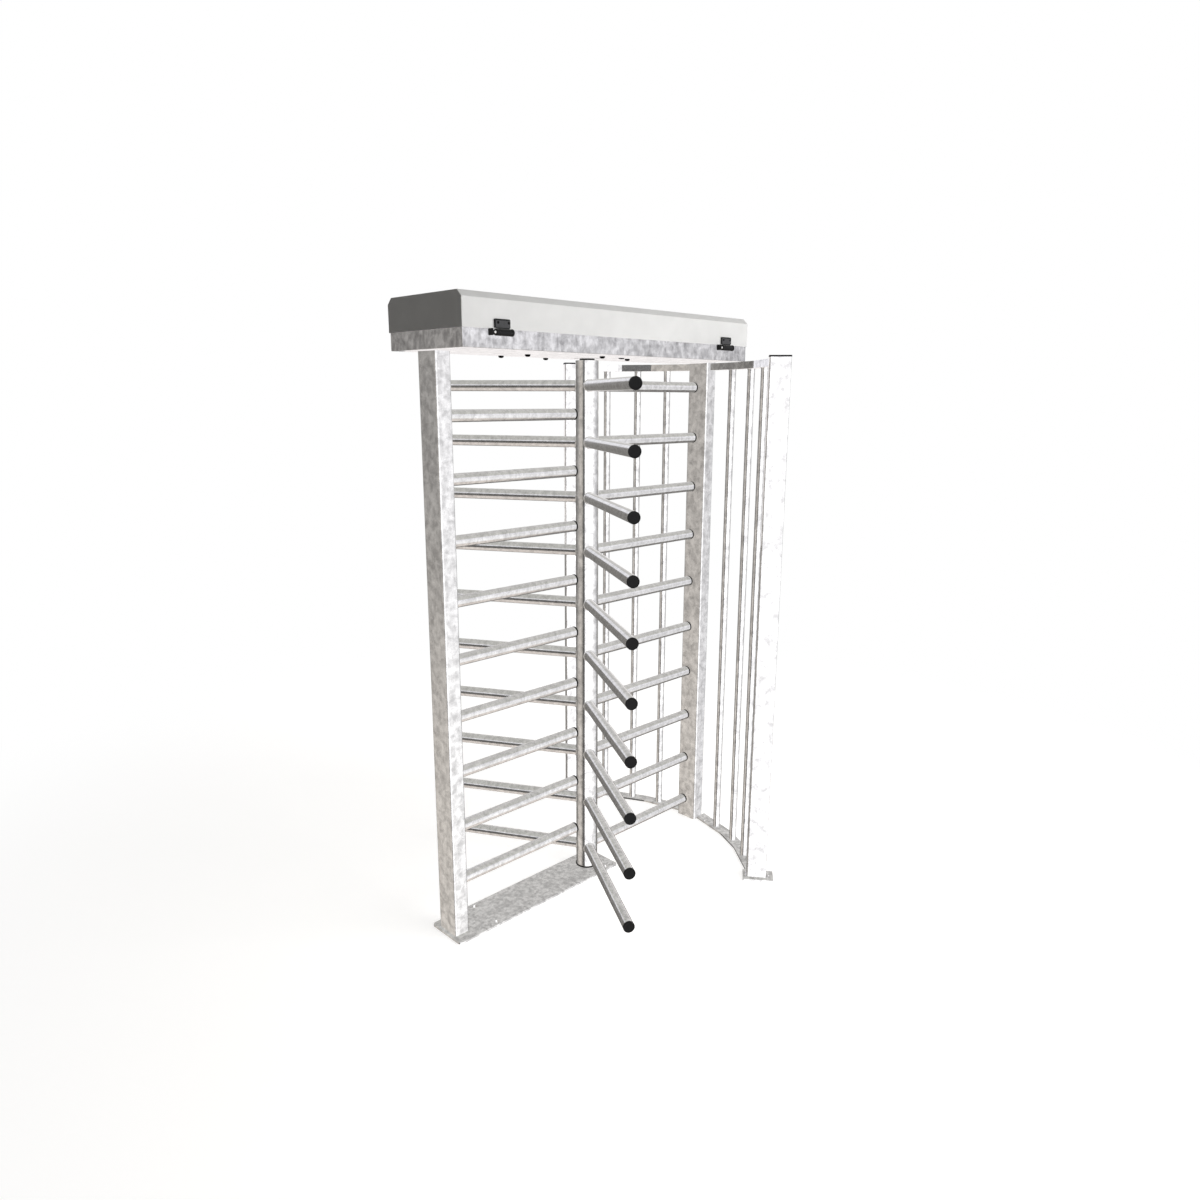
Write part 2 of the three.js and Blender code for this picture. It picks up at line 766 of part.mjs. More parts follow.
// Rotary damper beside the wheel, and its pinion in mesh with the rim
function damper() {
  const z0 = tray_floor_z + fit_gap;
  const z1 = gear_z - pinion_gap;
  const bore = holeRound(damper_shaft_radius, running_gap, tube_sides);
  const profile = [
    [0, z0],
    [damper_radius, z0],
    [damper_radius, z1],
    [bore, z1],
    [bore, z1 - damper_bore_depth],
    [0, z1 - damper_bore_depth],
  ];
  const length = damper_foot_length / 2;
  const width = damper_foot_width / 2;
  const foot = block(-width, width, -length, length, z0, z0 + damper_foot_height);
  const body = joined(turned(profile, round_sides), foot);
  piece("rotary_damper", geometryOf(body), black_steel).position.x = damper_x;

  const shaft_bottom = z1 - damper_bore_depth + running_gap;
  const pinion = joined(
    plate(gearShape(pinion_teeth), gear_z, gear_z + gear_thickness),
    rod(damper_shaft_radius, shaft_bottom, gear_z + gear_thickness / 2, tube_sides)
  );
  piece("damper_pinion", geometryOf(pinion), machined_steel).position.x = damper_x;
}

// Where a pawl's tip stands when it blocks a lug, and where the pawl pivots
const tip_at = onCircle(pawl_tip_track, -90 + lock_angle);
const pawl_arm = onCircle(pawl_length, lock_angle - pawl_lean);
const pawl_pivot = tip_at.clone().add(pawl_arm);
const solenoid_top = wheel_z + (lug_layer_height - pawl_thickness) / 2 - fit_gap;

// Plate across the tray's front half with the two rotary solenoids and their shafts
function lockFrame() {
  const z0 = tray_floor_z + fit_gap;
  const plate_top = z0 + lock_plate_sheet;
  const pin_top = wheel_z + lug_layer_height;
  const x = pawl_pivot.x + lock_plate_margin;
  let body = solid(block(-x, x, -lock_plate_front, -lock_plate_back, z0, plate_top));
  for (const side of [-1, 1]) {
    const can = rod(solenoid_radius, z0 + lock_plate_sheet / 2, solenoid_top, tube_sides);
    const pin = rod(pawl_pin_radius, z0 + lock_plate_sheet / 2, pin_top, tube_sides);
    body = body.add(solid(can.translate(side * pawl_pivot.x, pawl_pivot.y, 0)));
    body = body.add(solid(pin.translate(side * pawl_pivot.x, pawl_pivot.y, 0)));
  }
  piece("lock_frame", geometryOf(body), machined_steel);
}

// Tapered lever between two circles, with its hub at the origin and its tip along +X
function pawlGeometry() {
  const lean = Math.acos((pawl_hub_radius - pawl_tip_radius) / pawl_length);
  const shape = new THREE.Shape();
  shape.absarc(0, 0, pawl_hub_radius, lean, 2 * Math.PI - lean, false);
  shape.absarc(pawl_length, 0, pawl_tip_radius, -lean, lean, false);
  const z0 = solenoid_top + fit_gap;
  const lever = solid(plate(shape, z0, z0 + pawl_thickness));
  const bore = holeRound(pawl_pin_radius, running_gap, tube_sides);
  return geometryOf(cutBy(lever, rod(bore, z0 - overrun, z0 + pawl_thickness + overrun, tube_sides)));
}

// Pawls stand swung clear of the lugs at rest
function pawls() {
  const geometry = pawlGeometry();
  const heading = Math.atan2(-pawl_arm.y, -pawl_arm.x);
  const entry = piece("lock_pawl_entry", geometry, machined_steel);
  entry.position.set(pawl_pivot.x, pawl_pivot.y, 0);
  entry.rotation.z = heading + rad(pawl_swing);
  const exit = piece("lock_pawl_exit", geometry, machined_steel);
  exit.position.set(-pawl_pivot.x, pawl_pivot.y, 0);
  exit.rotation.z = Math.PI - heading - rad(pawl_swing);
}

basePlate();
posts();
barrier();
rotorColumn();
rotorArms();
guardHalf("guard_front", -1);
guardHalf("guard_back", 1);
floorBearing();
topBearing();
headTray();
headCover();
coverLock();
hinge("left", -tray_left + hinge_inset);
hinge("right", tray_right - hinge_inset);
lockWheel();
damper();
lockFrame();
pawls();

export default turnstile;
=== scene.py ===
import math

import bmesh
import bpy
from mathutils import Matrix, Vector


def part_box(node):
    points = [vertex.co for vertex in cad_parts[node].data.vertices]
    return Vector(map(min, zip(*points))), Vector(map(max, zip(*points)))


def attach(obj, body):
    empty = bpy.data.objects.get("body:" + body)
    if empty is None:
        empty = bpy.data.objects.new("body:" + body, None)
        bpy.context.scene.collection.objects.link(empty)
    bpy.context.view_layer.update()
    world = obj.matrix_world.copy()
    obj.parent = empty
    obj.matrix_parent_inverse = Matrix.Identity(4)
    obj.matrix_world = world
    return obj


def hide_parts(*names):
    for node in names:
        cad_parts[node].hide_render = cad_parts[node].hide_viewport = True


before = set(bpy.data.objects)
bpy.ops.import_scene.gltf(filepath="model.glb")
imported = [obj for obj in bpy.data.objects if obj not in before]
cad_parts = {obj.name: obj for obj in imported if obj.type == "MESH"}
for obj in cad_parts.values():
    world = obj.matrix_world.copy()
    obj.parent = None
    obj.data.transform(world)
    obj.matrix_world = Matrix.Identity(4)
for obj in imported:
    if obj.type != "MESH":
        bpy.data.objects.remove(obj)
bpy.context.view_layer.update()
scene = bpy.context.scene
scene.view_settings.view_transform = "Standard"

# Camera: a little below the head, in front of the hinge side and left of the object, looking
# down by about 13 degrees, as in the photograph. Angles are in degrees.
camera_place = (-2.40238, -2.50073, 1.95230)
camera_heading, camera_dip, camera_roll = -44.714, 12.799, 0.231
camera_data = bpy.data.cameras.new("camera")
camera_data.sensor_width = 36
camera_data.lens = 26.6015
camera = bpy.data.objects.new("camera", camera_data)
camera.matrix_world = (
    Matrix.Translation(camera_place)
    @ Matrix.Rotation(math.radians(camera_heading), 4, "Z")
    @ Matrix.Rotation(math.radians(90 - camera_dip), 4, "X")
    @ Matrix.Rotation(math.radians(camera_roll), 4, "Z")
)
scene.collection.objects.link(camera)
scene.camera = camera


# Studio: a white room with a pale matt floor and one large softbox low at the front right. Flags
# at the left and overhead keep soft light off the object, and the steel mirrors a room of its own.
def linear(hex_colour):
    """An sRGB hex colour as the linear values that shaders take."""
    parts = [int(hex_colour[i : i + 2], 16) / 255 for i in (1, 3, 5)]
    return (*[c / 12.92 if c <= 0.04045 else ((c + 0.055) / 1.055) ** 2.4 for c in parts], 1)


def add_node(tree, kind, inputs=None, **settings):
    """Adds a node with its settings. Each input is a value, an output, or a node for its first one."""
    node = tree.nodes.new("ShaderNode" + kind)
    for key, value in settings.items():
        setattr(node, key, value)
    for key, value in (inputs or {}).items():
        source = value.outputs[0] if isinstance(value, bpy.types.Node) else value
        if isinstance(source, bpy.types.NodeSocket):
            tree.links.new(source, node.inputs[key])
        else:
            node.inputs[key].default_value = source
    return node


def calc(tree, operation, *values):
    """A sum on numbers or nodes."""
    return add_node(tree, "Math", dict(enumerate(values)), operation=operation)


def ranged(tree, value, start, end, low=0, high=1, **settings):
    """A value moved from one range to another, and held at the ends."""
    inputs = {"Value": value, "From Min": start, "From Max": end, "To Min": low, "To Max": high}
    return add_node(tree, "MapRange", inputs, **settings)


def within(tree, value, span):
    """1 inside a span, which is given by its middle and half of its width, and 0 outside."""
    return calc(tree, "COMPARE", value, *span)


def blend(tree, share, first, second):
    """A mix of two colours, from the first at 0 to the second at 1."""
    return add_node(tree, "Mix", {0: share, 6: first, 7: second}, data_type="RGBA").outputs[2]


def colour_ramp(tree, value, stops):
    """A colour for each value, between (value, colour) stops in rising order."""
    node = add_node(tree, "ValToRGB", {0: value})
    ramp = node.color_ramp.elements
    ramp.remove(ramp[1])
    for i, (place, colour) in enumerate(stops):
        stop = ramp.new(place) if i else ramp[0]
        stop.position, stop.color = place, linear(colour)
    return node


def empty_material(name):
    """A new material and its tree, which has no nodes yet."""
    material = bpy.data.materials.new(name)
    material.use_nodes = True
    material.node_tree.nodes.clear()
    return material, material.node_tree


def flag_cloth(name, colour):
    """Cloth that is one grey from all sides, however it is lit."""
    material, tree = empty_material(name)
    glow = add_node(tree, "Emission", {"Color": linear(colour), "Strength": 1.0})
    add_node(tree, "OutputMaterial", {"Surface": glow})
    return material


def add_stand(name, bm, material, **seen_by):
    """A part of the studio. Rays of all kinds meet it, apart from those that are named as False."""
    mesh = bpy.data.meshes.new(name)
    bm.to_mesh(mesh)
    bm.free()
    mesh.materials.append(material)
    stand = bpy.data.objects.new(name, mesh)
    for kind, seen in seen_by.items():
        setattr(stand, "visible_" + kind, seen)
    scene.collection.objects.link(stand)


world = bpy.data.worlds.new("white_room")
world.use_nodes = True
background = world.node_tree.nodes["Background"].inputs
background["Color"].default_value = (1, 1, 1, 1)
background["Strength"].default_value = 1
scene.world = world

# To the camera the floor is lifted to white, and it fades into the white room, so that no edge of
# it shows. It lights the object as plain matt paint.
floor_half, floor_lift = 20, 0.68
fade_from, fade_to = 1.3, 3.6
floor_paint, tree = empty_material("matt_white_floor")
matt = add_node(tree, "BsdfDiffuse", {"Color": linear("#E8E6E3")})
lift = add_node(tree, "Emission", {"Color": (1, 1, 1, 1), "Strength": floor_lift})
white = add_node(tree, "Emission", {"Color": (1, 1, 1, 1), "Strength": 1.0})
coords = add_node(tree, "TexCoord").outputs["Object"]
distance = add_node(tree, "VectorMath", {0: coords}, operation="LENGTH").outputs["Value"]
fade = ranged(tree, distance, fade_from, fade_to, interpolation_type="SMOOTHSTEP")
lifted = add_node(tree, "AddShader", {0: matt, 1: lift})
shown = add_node(tree, "MixShader", {0: fade, 1: lifted, 2: white})
to_camera = add_node(tree, "LightPath").outputs["Is Camera Ray"]
mixed = add_node(tree, "MixShader", {0: to_camera, 1: matt, 2: shown})
add_node(tree, "OutputMaterial", {"Surface": mixed})
bm = bmesh.new()
bmesh.ops.create_grid(bm, x_segments=1, y_segments=1, size=floor_half)
add_stand("floor", bm, floor_paint, glossy=False)

flag_distance, flag_low, flag_high = 4.4, 0.02, 4.2
flag_from, flag_to = math.radians(98), math.radians(240)
bm = bmesh.new()
start = Matrix.Rotation(flag_from, 3, "Z") @ Vector((flag_distance, 0, flag_low))
ends = [bm.verts.new(start), bm.verts.new((start.x, start.y, flag_high))]
bmesh.ops.spin(
    bm,
    geom=[*ends, bm.edges.new(ends)],
    axis=(0, 0, 1),
    cent=(0, 0, 0),
    angle=flag_to - flag_from,
    steps=32,
)
add_stand("side_flag", bm, flag_cloth("dark_flag_cloth", "#1E1D1C"), camera=False, glossy=False)
bm = bmesh.new()
above = Matrix.Translation((0, 0, flag_high))
bmesh.ops.create_grid(bm, x_segments=1, y_segments=1, size=flag_distance, matrix=above)
add_stand("top_flag", bm, flag_cloth("grey_flag_cloth", "#7B7A78"), camera=False, glossy=False)

# What the steel mirrors is a far room: bright windows at the front, dark walls at the left and
# the back, a grey ceiling and a warm floor. The turn is a compass angle, as a share of 360
# degrees from +X, and the rise is the sine of the angle above the horizon.
walls_at_eye_level = [
    (0.0, "#A4A3A1"),
    (0.07, "#8A8885"),
    (0.24, "#7C7A77"),
    (0.31, "#8A8885"),
    (0.344, "#9A9895"),
    (0.39, "#B3AFAA"),
    (0.43, "#BFBAB4"),
    (0.495, "#BDB8B1"),
    (0.515, "#5A5A58"),
    (0.560, "#5A5A58"),
    (0.572, "#FFFFFF"),
    (0.805, "#FFFFFF"),
    (0.845, "#F3F3F5"),
    (0.868, "#DFDFE1"),
    (0.89, "#D5D5D7"),
    (0.925, "#C2C2C4"),
    (0.97, "#B0B0B1"),
    (1.0, "#A4A3A1"),
]
walls_below_it = [
    (0.0, "#6F6D6A"),
    (0.26, "#716F6C"),
    (0.33, "#C8C3BC"),
    (0.42, "#D2CCC5"),
    (0.485, "#B0ABA4"),
    (0.495, "#5E5C5A"),
    (0.560, "#5A5856"),
    (0.572, "#FFFFFF"),
    (0.855, "#FFFFFF"),
    (0.895, "#D9D9DB"),
    (0.938, "#E8E8EA"),
    (0.950, "#7C7A77"),
    (1.0, "#6F6D6A"),
]
upper_wall = [(0.06, "#E9E9EE"), (0.42, "#E4E4E8"), (0.46, "#C0C0BB"), (1.0, "#BCBCB8")]
upper_wall_greyer, low_window_colour, warm_floor = "#C2C1BF", "#E9E5E4", "#D9D1CA"
# The front windows are brighter than white paper
front_window_colour = (1.32, 1.32, 1.34, 1)
room_strength, room_radius, eye_height = 1.3, 40, 1.2
# Spans of the turn and of the rise, each as its middle and half of its width
front_windows, low_window, low_window_rise = (0.6875, 0.1165), (0.108, 0.054), (-0.01, 0.115)
back_wall, right_corner, left_wall = (0.14, 0.14), (0.972, 0.028), (0.335, 0.135)
back_right_wall, back_right_grey = (0.09, 0.11), (0.07, 0.09)
# Between which rises the upper wall, the lower wall and the floor begin, and the floor is warm
upper_from, upper_to = 0.11, 0.15
lower_from, lower_to = -0.02, -0.44
floor_from, floor_to, floor_warm = -0.56, -0.60, -0.63
# How far the border under the back wall and those over the left and back right walls move
back_drop, left_climb, back_right_drop = 0.16, -0.14, 0.12

room_paint, tree = empty_material("far_room")
coords = add_node(tree, "TexCoord").outputs["Object"]
outward = add_node(tree, "VectorMath", {0: coords}, operation="NORMALIZE")
parts = add_node(tree, "SeparateXYZ", {0: outward}).outputs
rise = parts["Z"]
turn = calc(tree, "MULTIPLY", calc(tree, "ARCTAN2", parts["Y"], parts["X"]), 1 / (2 * math.pi))
turn = calc(tree, "WRAP", turn, 1, 0)
low_walls = colour_ramp(tree, turn, walls_below_it)
sinking = ranged(tree, rise, lower_from, lower_to)
room = blend(tree, sinking, colour_ramp(tree, turn, walls_at_eye_level), low_walls)
room = blend(tree, within(tree, turn, front_windows), room, front_window_colour)
# At the back the dark wall reaches further down
at_back = calc(tree, "MAXIMUM", within(tree, turn, back_wall), within(tree, turn, right_corner))
floor_rise = calc(tree, "MULTIPLY_ADD", at_back, back_drop, rise)
warm = ranged(tree, floor_rise, floor_from, floor_warm)
room_floor = blend(tree, warm, low_walls, linear(warm_floor))
room = blend(tree, ranged(tree, floor_rise, floor_from, floor_to), room, room_floor)
# At the left it reaches further up, and at the back right it ends at eye level, under a
# greyer upper wall
at_left, at_back_right = within(tree, turn, left_wall), within(tree, turn, back_right_wall)
upper_rise = calc(tree, "MULTIPLY_ADD", at_left, left_climb, rise)
upper_rise = calc(tree, "MULTIPLY_ADD", at_back_right, back_right_drop, upper_rise)
upper = colour_ramp(tree, rise, upper_wall)
upper = blend(tree, within(tree, turn, back_right_grey), upper, linear(upper_wall_greyer))
room = blend(tree, ranged(tree, upper_rise, upper_from, upper_to), room, upper)
# A low bright window at the back right lights up the underside of the head
window = calc(tree, "MULTIPLY", within(tree, turn, low_window), within(tree, rise, low_window_rise))
room = blend(tree, window, room, linear(low_window_colour))
glow = add_node(tree, "Emission", {"Color": room, "Strength": room_strength})
add_node(tree, "OutputMaterial", {"Surface": glow})
bm = bmesh.new()
eye_point = Matrix.Translation((0, 0, eye_height))
bmesh.ops.create_icosphere(bm, subdivisions=4, radius=room_radius, matrix=eye_point)
add_stand("mirrored_room", bm, room_paint, camera=False, diffuse=False, shadow=False)

softbox_data = bpy.data.lights.new("softbox", "AREA")
softbox_data.shape = "RECTANGLE"
softbox_data.size = 5.0
softbox_data.size_y = 3.5
softbox_data.energy = 195
softbox = bpy.data.objects.new("softbox", softbox_data)
softbox_place, softbox_aim = Vector((1.9, -5.1, 2.2)), Vector((0, 0, 1.0))
softbox_turn = (softbox_place - softbox_aim).to_track_quat("Z", "Y").to_matrix().to_4x4()
softbox.matrix_world = Matrix.Translation(softbox_place) @ softbox_turn
softbox.visible_glossy = False
scene.collection.objects.link(softbox)


# Base plate: one long plate of 8 mm steel, laser cut with rounded corners and four anchor
# holes, and dipped in zinc together with the post and the barrier that are welded to it.
def new_finish(name, colour, metallic, **more):
    """A material with its shader, in the mean colour of the patterns that it gets."""
    material, tree = empty_material(name)
    inputs = {key.replace("_", " "): value for key, value in more.items()}
    shader = add_node(
        tree, "BsdfPrincipled", {"Base Color": linear(colour), "Metallic": metallic, **inputs}
    )
    add_node(tree, "OutputMaterial", {"Surface": shader})
    return material, tree, shader


def noise(tree, size, detail, vector=None, **more):
    """A cloudy pattern with spots of one size in metres, in object coordinates or in others."""
    vector = vector or add_node(tree, "TexCoord").outputs["Object"]
    return add_node(tree, "TexNoise", {"Vector": vector, "Scale": 1 / size, "Detail": detail, **more})


def feed(shader, **sources):
    """Links the first output of a node to each of the shader's inputs that are named."""
    for key, node in sources.items():
        shader.id_data.links.new(node.outputs[0], shader.inputs[key.replace("_", " ")])


# Between which heights of a pattern a tone changes into the next
tone_stops = (0.35, 0.65)


def vary(shader, pattern, rough, tones=()):
    """Lets a pattern set the roughness between two values, and the tone where two are given."""
    tree = shader.id_data
    feed(shader, Roughness=ranged(tree, pattern, 0, 1, *rough))
    if tones:
        feed(shader, Base_Color=colour_ramp(tree, pattern, zip(tone_stops, tones)))


def emboss(shader, height, strength, depth):
    """Gives a finish a fine relief, from a height pattern and its depth in metres."""
    bump = {"Height": height, "Strength": strength, "Distance": depth}
    feed(shader, Normal=add_node(shader.id_data, "Bump", bump))


# Hot-dip galvanised steel: the zinc skin sets in soft clouds with a faint crystal grain, drains
# downwards in streaks, and dulls to a warm matt grey. The eye sees mottled metal, never a mirror.
zinc_patch, zinc_crystal, zinc_streak, zinc_grain = 0.11, 0.009, 0.015, 0.0035
# How much wide patches add to the tone, and how high clouds stand against grain
zinc_patch_share, cloud_height = 0.14, 4
zinc_stops = (0.38, 0.46, 0.53, 0.62)


def zinc_skin(name, cloud_size, streak_share, tones):
    """A zinc skin with clouds of one size, a share of streaks, and its tones from dull to bright."""
    material, tree, shader = new_finish(name, tones[1], metallic=0.88)
    coords = add_node(tree, "TexCoord").outputs["Object"]
    cloud = noise(tree, cloud_size, detail=4, Roughness=0.56, Distortion=0.35)
    # The streaks are about three times as high as they are wide
    hanging = add_node(tree, "Mapping", {"Vector": coords, "Scale": (1, 1, 0.3)})
    streak = noise(tree, zinc_streak, detail=3, vector=hanging, Roughness=0.55)
    # Clouds, streaks and wide patches add up to one height of tone, about 0.5 in the middle
    tone = calc(tree, "MULTIPLY", cloud, 1 - zinc_patch_share - streak_share)
    tone = calc(tree, "MULTIPLY_ADD", streak, streak_share, tone)
    patch = noise(tree, zinc_patch, detail=2)
    tone = calc(tree, "MULTIPLY_ADD", patch, zinc_patch_share, tone)
    mottle = colour_ramp(tree, tone, zip(zinc_stops, tones))
    crystal = add_node(tree, "TexVoronoi", {"Vector": coords, "Scale": 1 / zinc_crystal})
    crystal_grey = add_node(tree, "RGBToBW", {"Color": crystal.outputs["Color"]})
    crystal_tone = ranged(tree, crystal_grey, 0, 1, low=0.95, high=1.04)
    colour = add_node(tree, "VectorMath", {0: mottle, "Scale": crystal_tone}, operation="SCALE")
    # Dull clouds are a little rougher than bright ones
    rough = ranged(tree, tone, start=0.36, end=0.64, low=0.15, high=0.09)
    feed(shader, Base_Color=colour, Roughness=rough)
    height = calc(tree, "MULTIPLY_ADD", cloud, cloud_height, noise(tree, zinc_grain, detail=2))
    emboss(shader, height, strength=0.05, depth=0.0005)
    return material


# The thick plate cools slowly in one piece, which leaves small and pale clouds
zinc_plate = zinc_skin(
    "hot_dip_galvanised_plate",
    cloud_size=0.015,
    streak_share=0.1,
    tones=("#C4C3C3", "#D3D2D2", "#E2E1E1", "#F2F1F1"),
)


corner_steps, hole_sides = 8, 32


def rectangle(across, up):
    """The corners of a rectangle from its two ends each way."""
    return [(across[0], up[0]), (across[1], up[0]), (across[1], up[1]), (across[0], up[1])]


def bevel(bm, geom, affect, radius, steps):
    """Rounds corners or edges of a shape."""
    bmesh.ops.bevel(
        bm,
        geom=geom,
        affect=affect,
        offset=radius,
        offset_type="OFFSET",
        segments=steps,
        profile=0.5,
        material=-1,
    )


def flat_shape(corners, corner_radius, z):
    """One flat face with rounded corners."""
    bm = bmesh.new()
    bm.faces.new([bm.verts.new((x, y, z)) for x, y in corners])
    if corner_radius:
        bevel(bm, bm.verts[:], "VERTICES", corner_radius, corner_steps)
    return bm


def raise_shape(bm, height):
    """Gives a flat shape its height."""
    top = bmesh.ops.extrude_face_region(bm, geom=bm.faces[:])["geom"]
    verts = [v for v in top if isinstance(v, bmesh.types.BMVert)]
    bmesh.ops.translate(bm, verts=verts, vec=(0, 0, height))
    bmesh.ops.recalc_face_normals(bm, faces=bm.faces[:])
    return bm


def cut_plate(corners, corner_radius, holes, low, high):
    """A flat plate between two heights, with rounded corners and with round holes."""
    bm = flat_shape(corners, corner_radius, low)
    bmesh.ops.delete(bm, geom=bm.faces[:], context="FACES_ONLY")
    for x, y, radius in holes:
        at = Matrix.Translation((x, y, low))
        bmesh.ops.create_circle(bm, segments=hole_sides, radius=radius, matrix=at)
    bmesh.ops.triangle_fill(bm, use_beauty=True, edges=bm.edges[:])
    bmesh.ops.recalc_face_normals(bm, faces=bm.faces[:])
    return raise_shape(bm, high - low)


# How many times the area of its neighbour a face has to have to stay flat beside it
much_larger = 8


def add_piece(bm, name, material, body, slot, *nodes, sharp_from=32):
    """Makes a mesh built in place a piece of the object, which stands for the CAD nodes. Dull
    steel mirrors bright walls but hardly its neighbours, so no piece shows in another. Edges
    that turn by less than sharp_from, in degrees, shade smooth."""
    for face in bm.faces:
        face.smooth = True
    # Round faces shade smooth. A large flat face beside the narrow ones of a fold stays flat
    for e in bm.edges:
        areas = [face.calc_area() for face in e.link_faces]
        alike = len(areas) == 2 and max(areas) < much_larger * min(areas)
        e.smooth = alike and e.calc_face_angle(math.pi) < math.radians(sharp_from)
    mesh = bpy.data.meshes.new(name)
    bm.to_mesh(mesh)
    bm.free()
    mesh.materials.append(material)
    piece = bpy.data.objects.new(name, mesh)
    piece.visible_glossy = False
    scene.collection.objects.link(piece)
    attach(piece, body)
    if nodes:
        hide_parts(*nodes)
    return piece


def round_edges(piece, width, segments=2):
    """Breaks a piece's edges by a small radius and keeps its flat faces flat."""
    bevel = piece.modifiers.new("edge_rounding", "BEVEL")
    bevel.width = width
    bevel.segments = segments
    bevel.limit_method = "ANGLE"
    bevel.angle_limit = math.radians(35)
    bevel.harden_normals = True


base_thickness, base_corner, cut_edge = 0.008, 0.016, 0.0008
base_x, base_y = (-0.735, 0.090), (-0.098, 0.082)
anchor_x, anchor_y, anchor_radius = (-0.550, 0.038), (-0.078, 0.062), 0.008
anchor_holes = [(x, y, anchor_radius) for x in anchor_x for y in anchor_y]
bm = cut_plate(rectangle(base_x, base_y), base_corner, anchor_holes, 0, base_thickness)
piece = add_piece(bm, "base_plate_cut", zinc_plate, "frame", "galvanised", "base_plate")
round_edges(piece, cut_edge)


# Posts: cold-formed rectangular tube, 60 x 100 x 3 mm, with rounded corners. The left one is
# welded to the base plate, the right one is closed by a lid and tied to the head by a lug.
def centred(length, depth):
    """The corners of a rectangle round the origin."""
    return rectangle((-length / 2, length / 2), (-depth / 2, depth / 2))


def box_tube(length, depth, corner, wall, low, high):
    """An upright tube of rounded rectangular section, open at both ends, about the Z axis."""
    bm = flat_shape(centred(length, depth), corner, low)
    middle = bm.faces[:]
    bmesh.ops.inset_individual(bm, faces=middle, thickness=wall, use_even_offset=True)
    bmesh.ops.delete(bm, geom=middle, context="FACES")
    return raise_shape(bm, high - low)


def fillet_weld(length, depth, corner, low, leg):
    """A weld bead round the foot of an upright tube: a low collar with sloping sides."""
    bm = cut_plate(centred(length, depth), corner, [], low, low + leg)
    for v in bm.verts:
        if v.co.z < low + leg / 2:
            v.co.x *= 1 + 2 * leg / length
            v.co.y *= 1 + 2 * leg / depth
    return bm


def joined(target, *others):
    """Adds the meshes of other shapes to a shape."""
    for other in others:
        held = bpy.data.meshes.new("held")
        other.to_mesh(held)
        other.free()
        target.from_mesh(held)
        bpy.data.meshes.remove(held)
    return target


def placed(bm, *moves):
    """Moves a shape by one or more matrices, the last one first."""
    matrix = Matrix.Identity(4)
    for move in moves:
        matrix = matrix @ move
    bmesh.ops.transform(bm, matrix=matrix, verts=bm.verts[:])
    return bm


# Heavy tube cools unevenly, which leaves wide clouds from grey to nearly white
hot_dip_zinc = zinc_skin(
    "hot_dip_galvanised_steel",
    cloud_size=0.030,
    streak_share=0.2,
    tones=("#C2C1C1", "#D5D4D4", "#E6E5E5", "#F6F5F5"),
)
# Posts and barrier stand on one line along X, which passes beside the rotor's axis
frame_line = -0.008
post_width, post_depth, post_wall, post_corner = 0.060, 0.100, 0.003, 0.006
left_post_x, right_post_x = -0.695, 0.680
clear_height = 2.100
fit_gap, post_bead = 0.0003, 0.0045
post_low, post_high = base_thickness + fit_gap, clear_height - fit_gap
bm = joined(
    box_tube(post_width, post_depth, post_corner, post_wall, post_low, post_high),
    fillet_weld(post_width, post_depth, post_corner, base_thickness, post_bead),
)
placed(bm, Matrix.Translation((left_post_x, frame_line, 0)))
add_piece(bm, "left_post_tube", hot_dip_zinc, "frame", "galvanised", "left_post")

lid_z = 2.150
lug_low, lug_high, lug_half, lug_end, lug_overlap = 2.100, 2.146, 0.047, 0.6163, 0.0015
lug_x = (lug_end - right_post_x, lug_overlap - post_width / 2)
bm = joined(
    box_tube(post_width, post_depth, post_corner, post_wall, 0, lid_z - post_wall),
    cut_plate(centred(post_width, post_depth), post_corner, [], lid_z - post_wall, lid_z),
    cut_plate(rectangle(lug_x, (-lug_half, lug_half)), 0, [], lug_low, lug_high),
)
placed(bm, Matrix.Translation((right_post_x, frame_line, 0)))
piece = add_piece(bm, "right_post_tube", hot_dip_zinc, "frame", "galvanised", "right_post")
round_edges(piece, cut_edge)

# Barrier: nine lengths of 42.4 mm round tube, welded to the left post by one end. The free end
# next to the column is closed by a black plastic cap with a rounded rim.
round_sides, bead_sides = 48, 10
tube_radius = 0.0212
cap_radius, cap_height, cap_round = 0.0216, 0.008, 0.0008
# The face of a cap is a low dome, as (radius, depth below the rim)
cap_dome = ((0.0196, 0.0001), (0.0188, 0.0005), (0.0120, 0.0004), (0, 0.0003))
bar_start, bar_end = left_post_x + post_width / 2 + fit_gap, -0.07545
bar_bead, bar_ripples, ripple_depth = 0.003, 26, 0.10
# Each bar is half a pitch below an arm, so that the arms pass between the bars
arm_pitch, top_arm_z, bar_count = 0.2115, 2.000, 9
to_x_axis = Matrix.Rotation(math.pi / 2, 4, "Y")


def round_bar(radius, start, end):
    """A round bar or closed tube along the X axis."""
    bm = bmesh.new()
    bmesh.ops.create_cone(
        bm, cap_ends=True, segments=round_sides, radius1=radius, radius2=radius, depth=end - start
    )
    return placed(bm, Matrix.Translation(((start + end) / 2, 0, 0)), to_x_axis)


def spun(bm, axis, steps):
    """Turns an outline all the way round an axis through the origin."""
    outline = bm.verts[:] + bm.edges[:]
    full_turn = 2 * math.pi
    bmesh.ops.spin(
        bm, geom=outline, axis=axis, cent=(0, 0, 0), angle=full_turn, steps=steps, use_merge=True
    )
    bmesh.ops.remove_doubles(bm, verts=bm.verts[:], dist=1e-6)
    bmesh.ops.recalc_face_normals(bm, faces=bm.faces[:])
    return bm


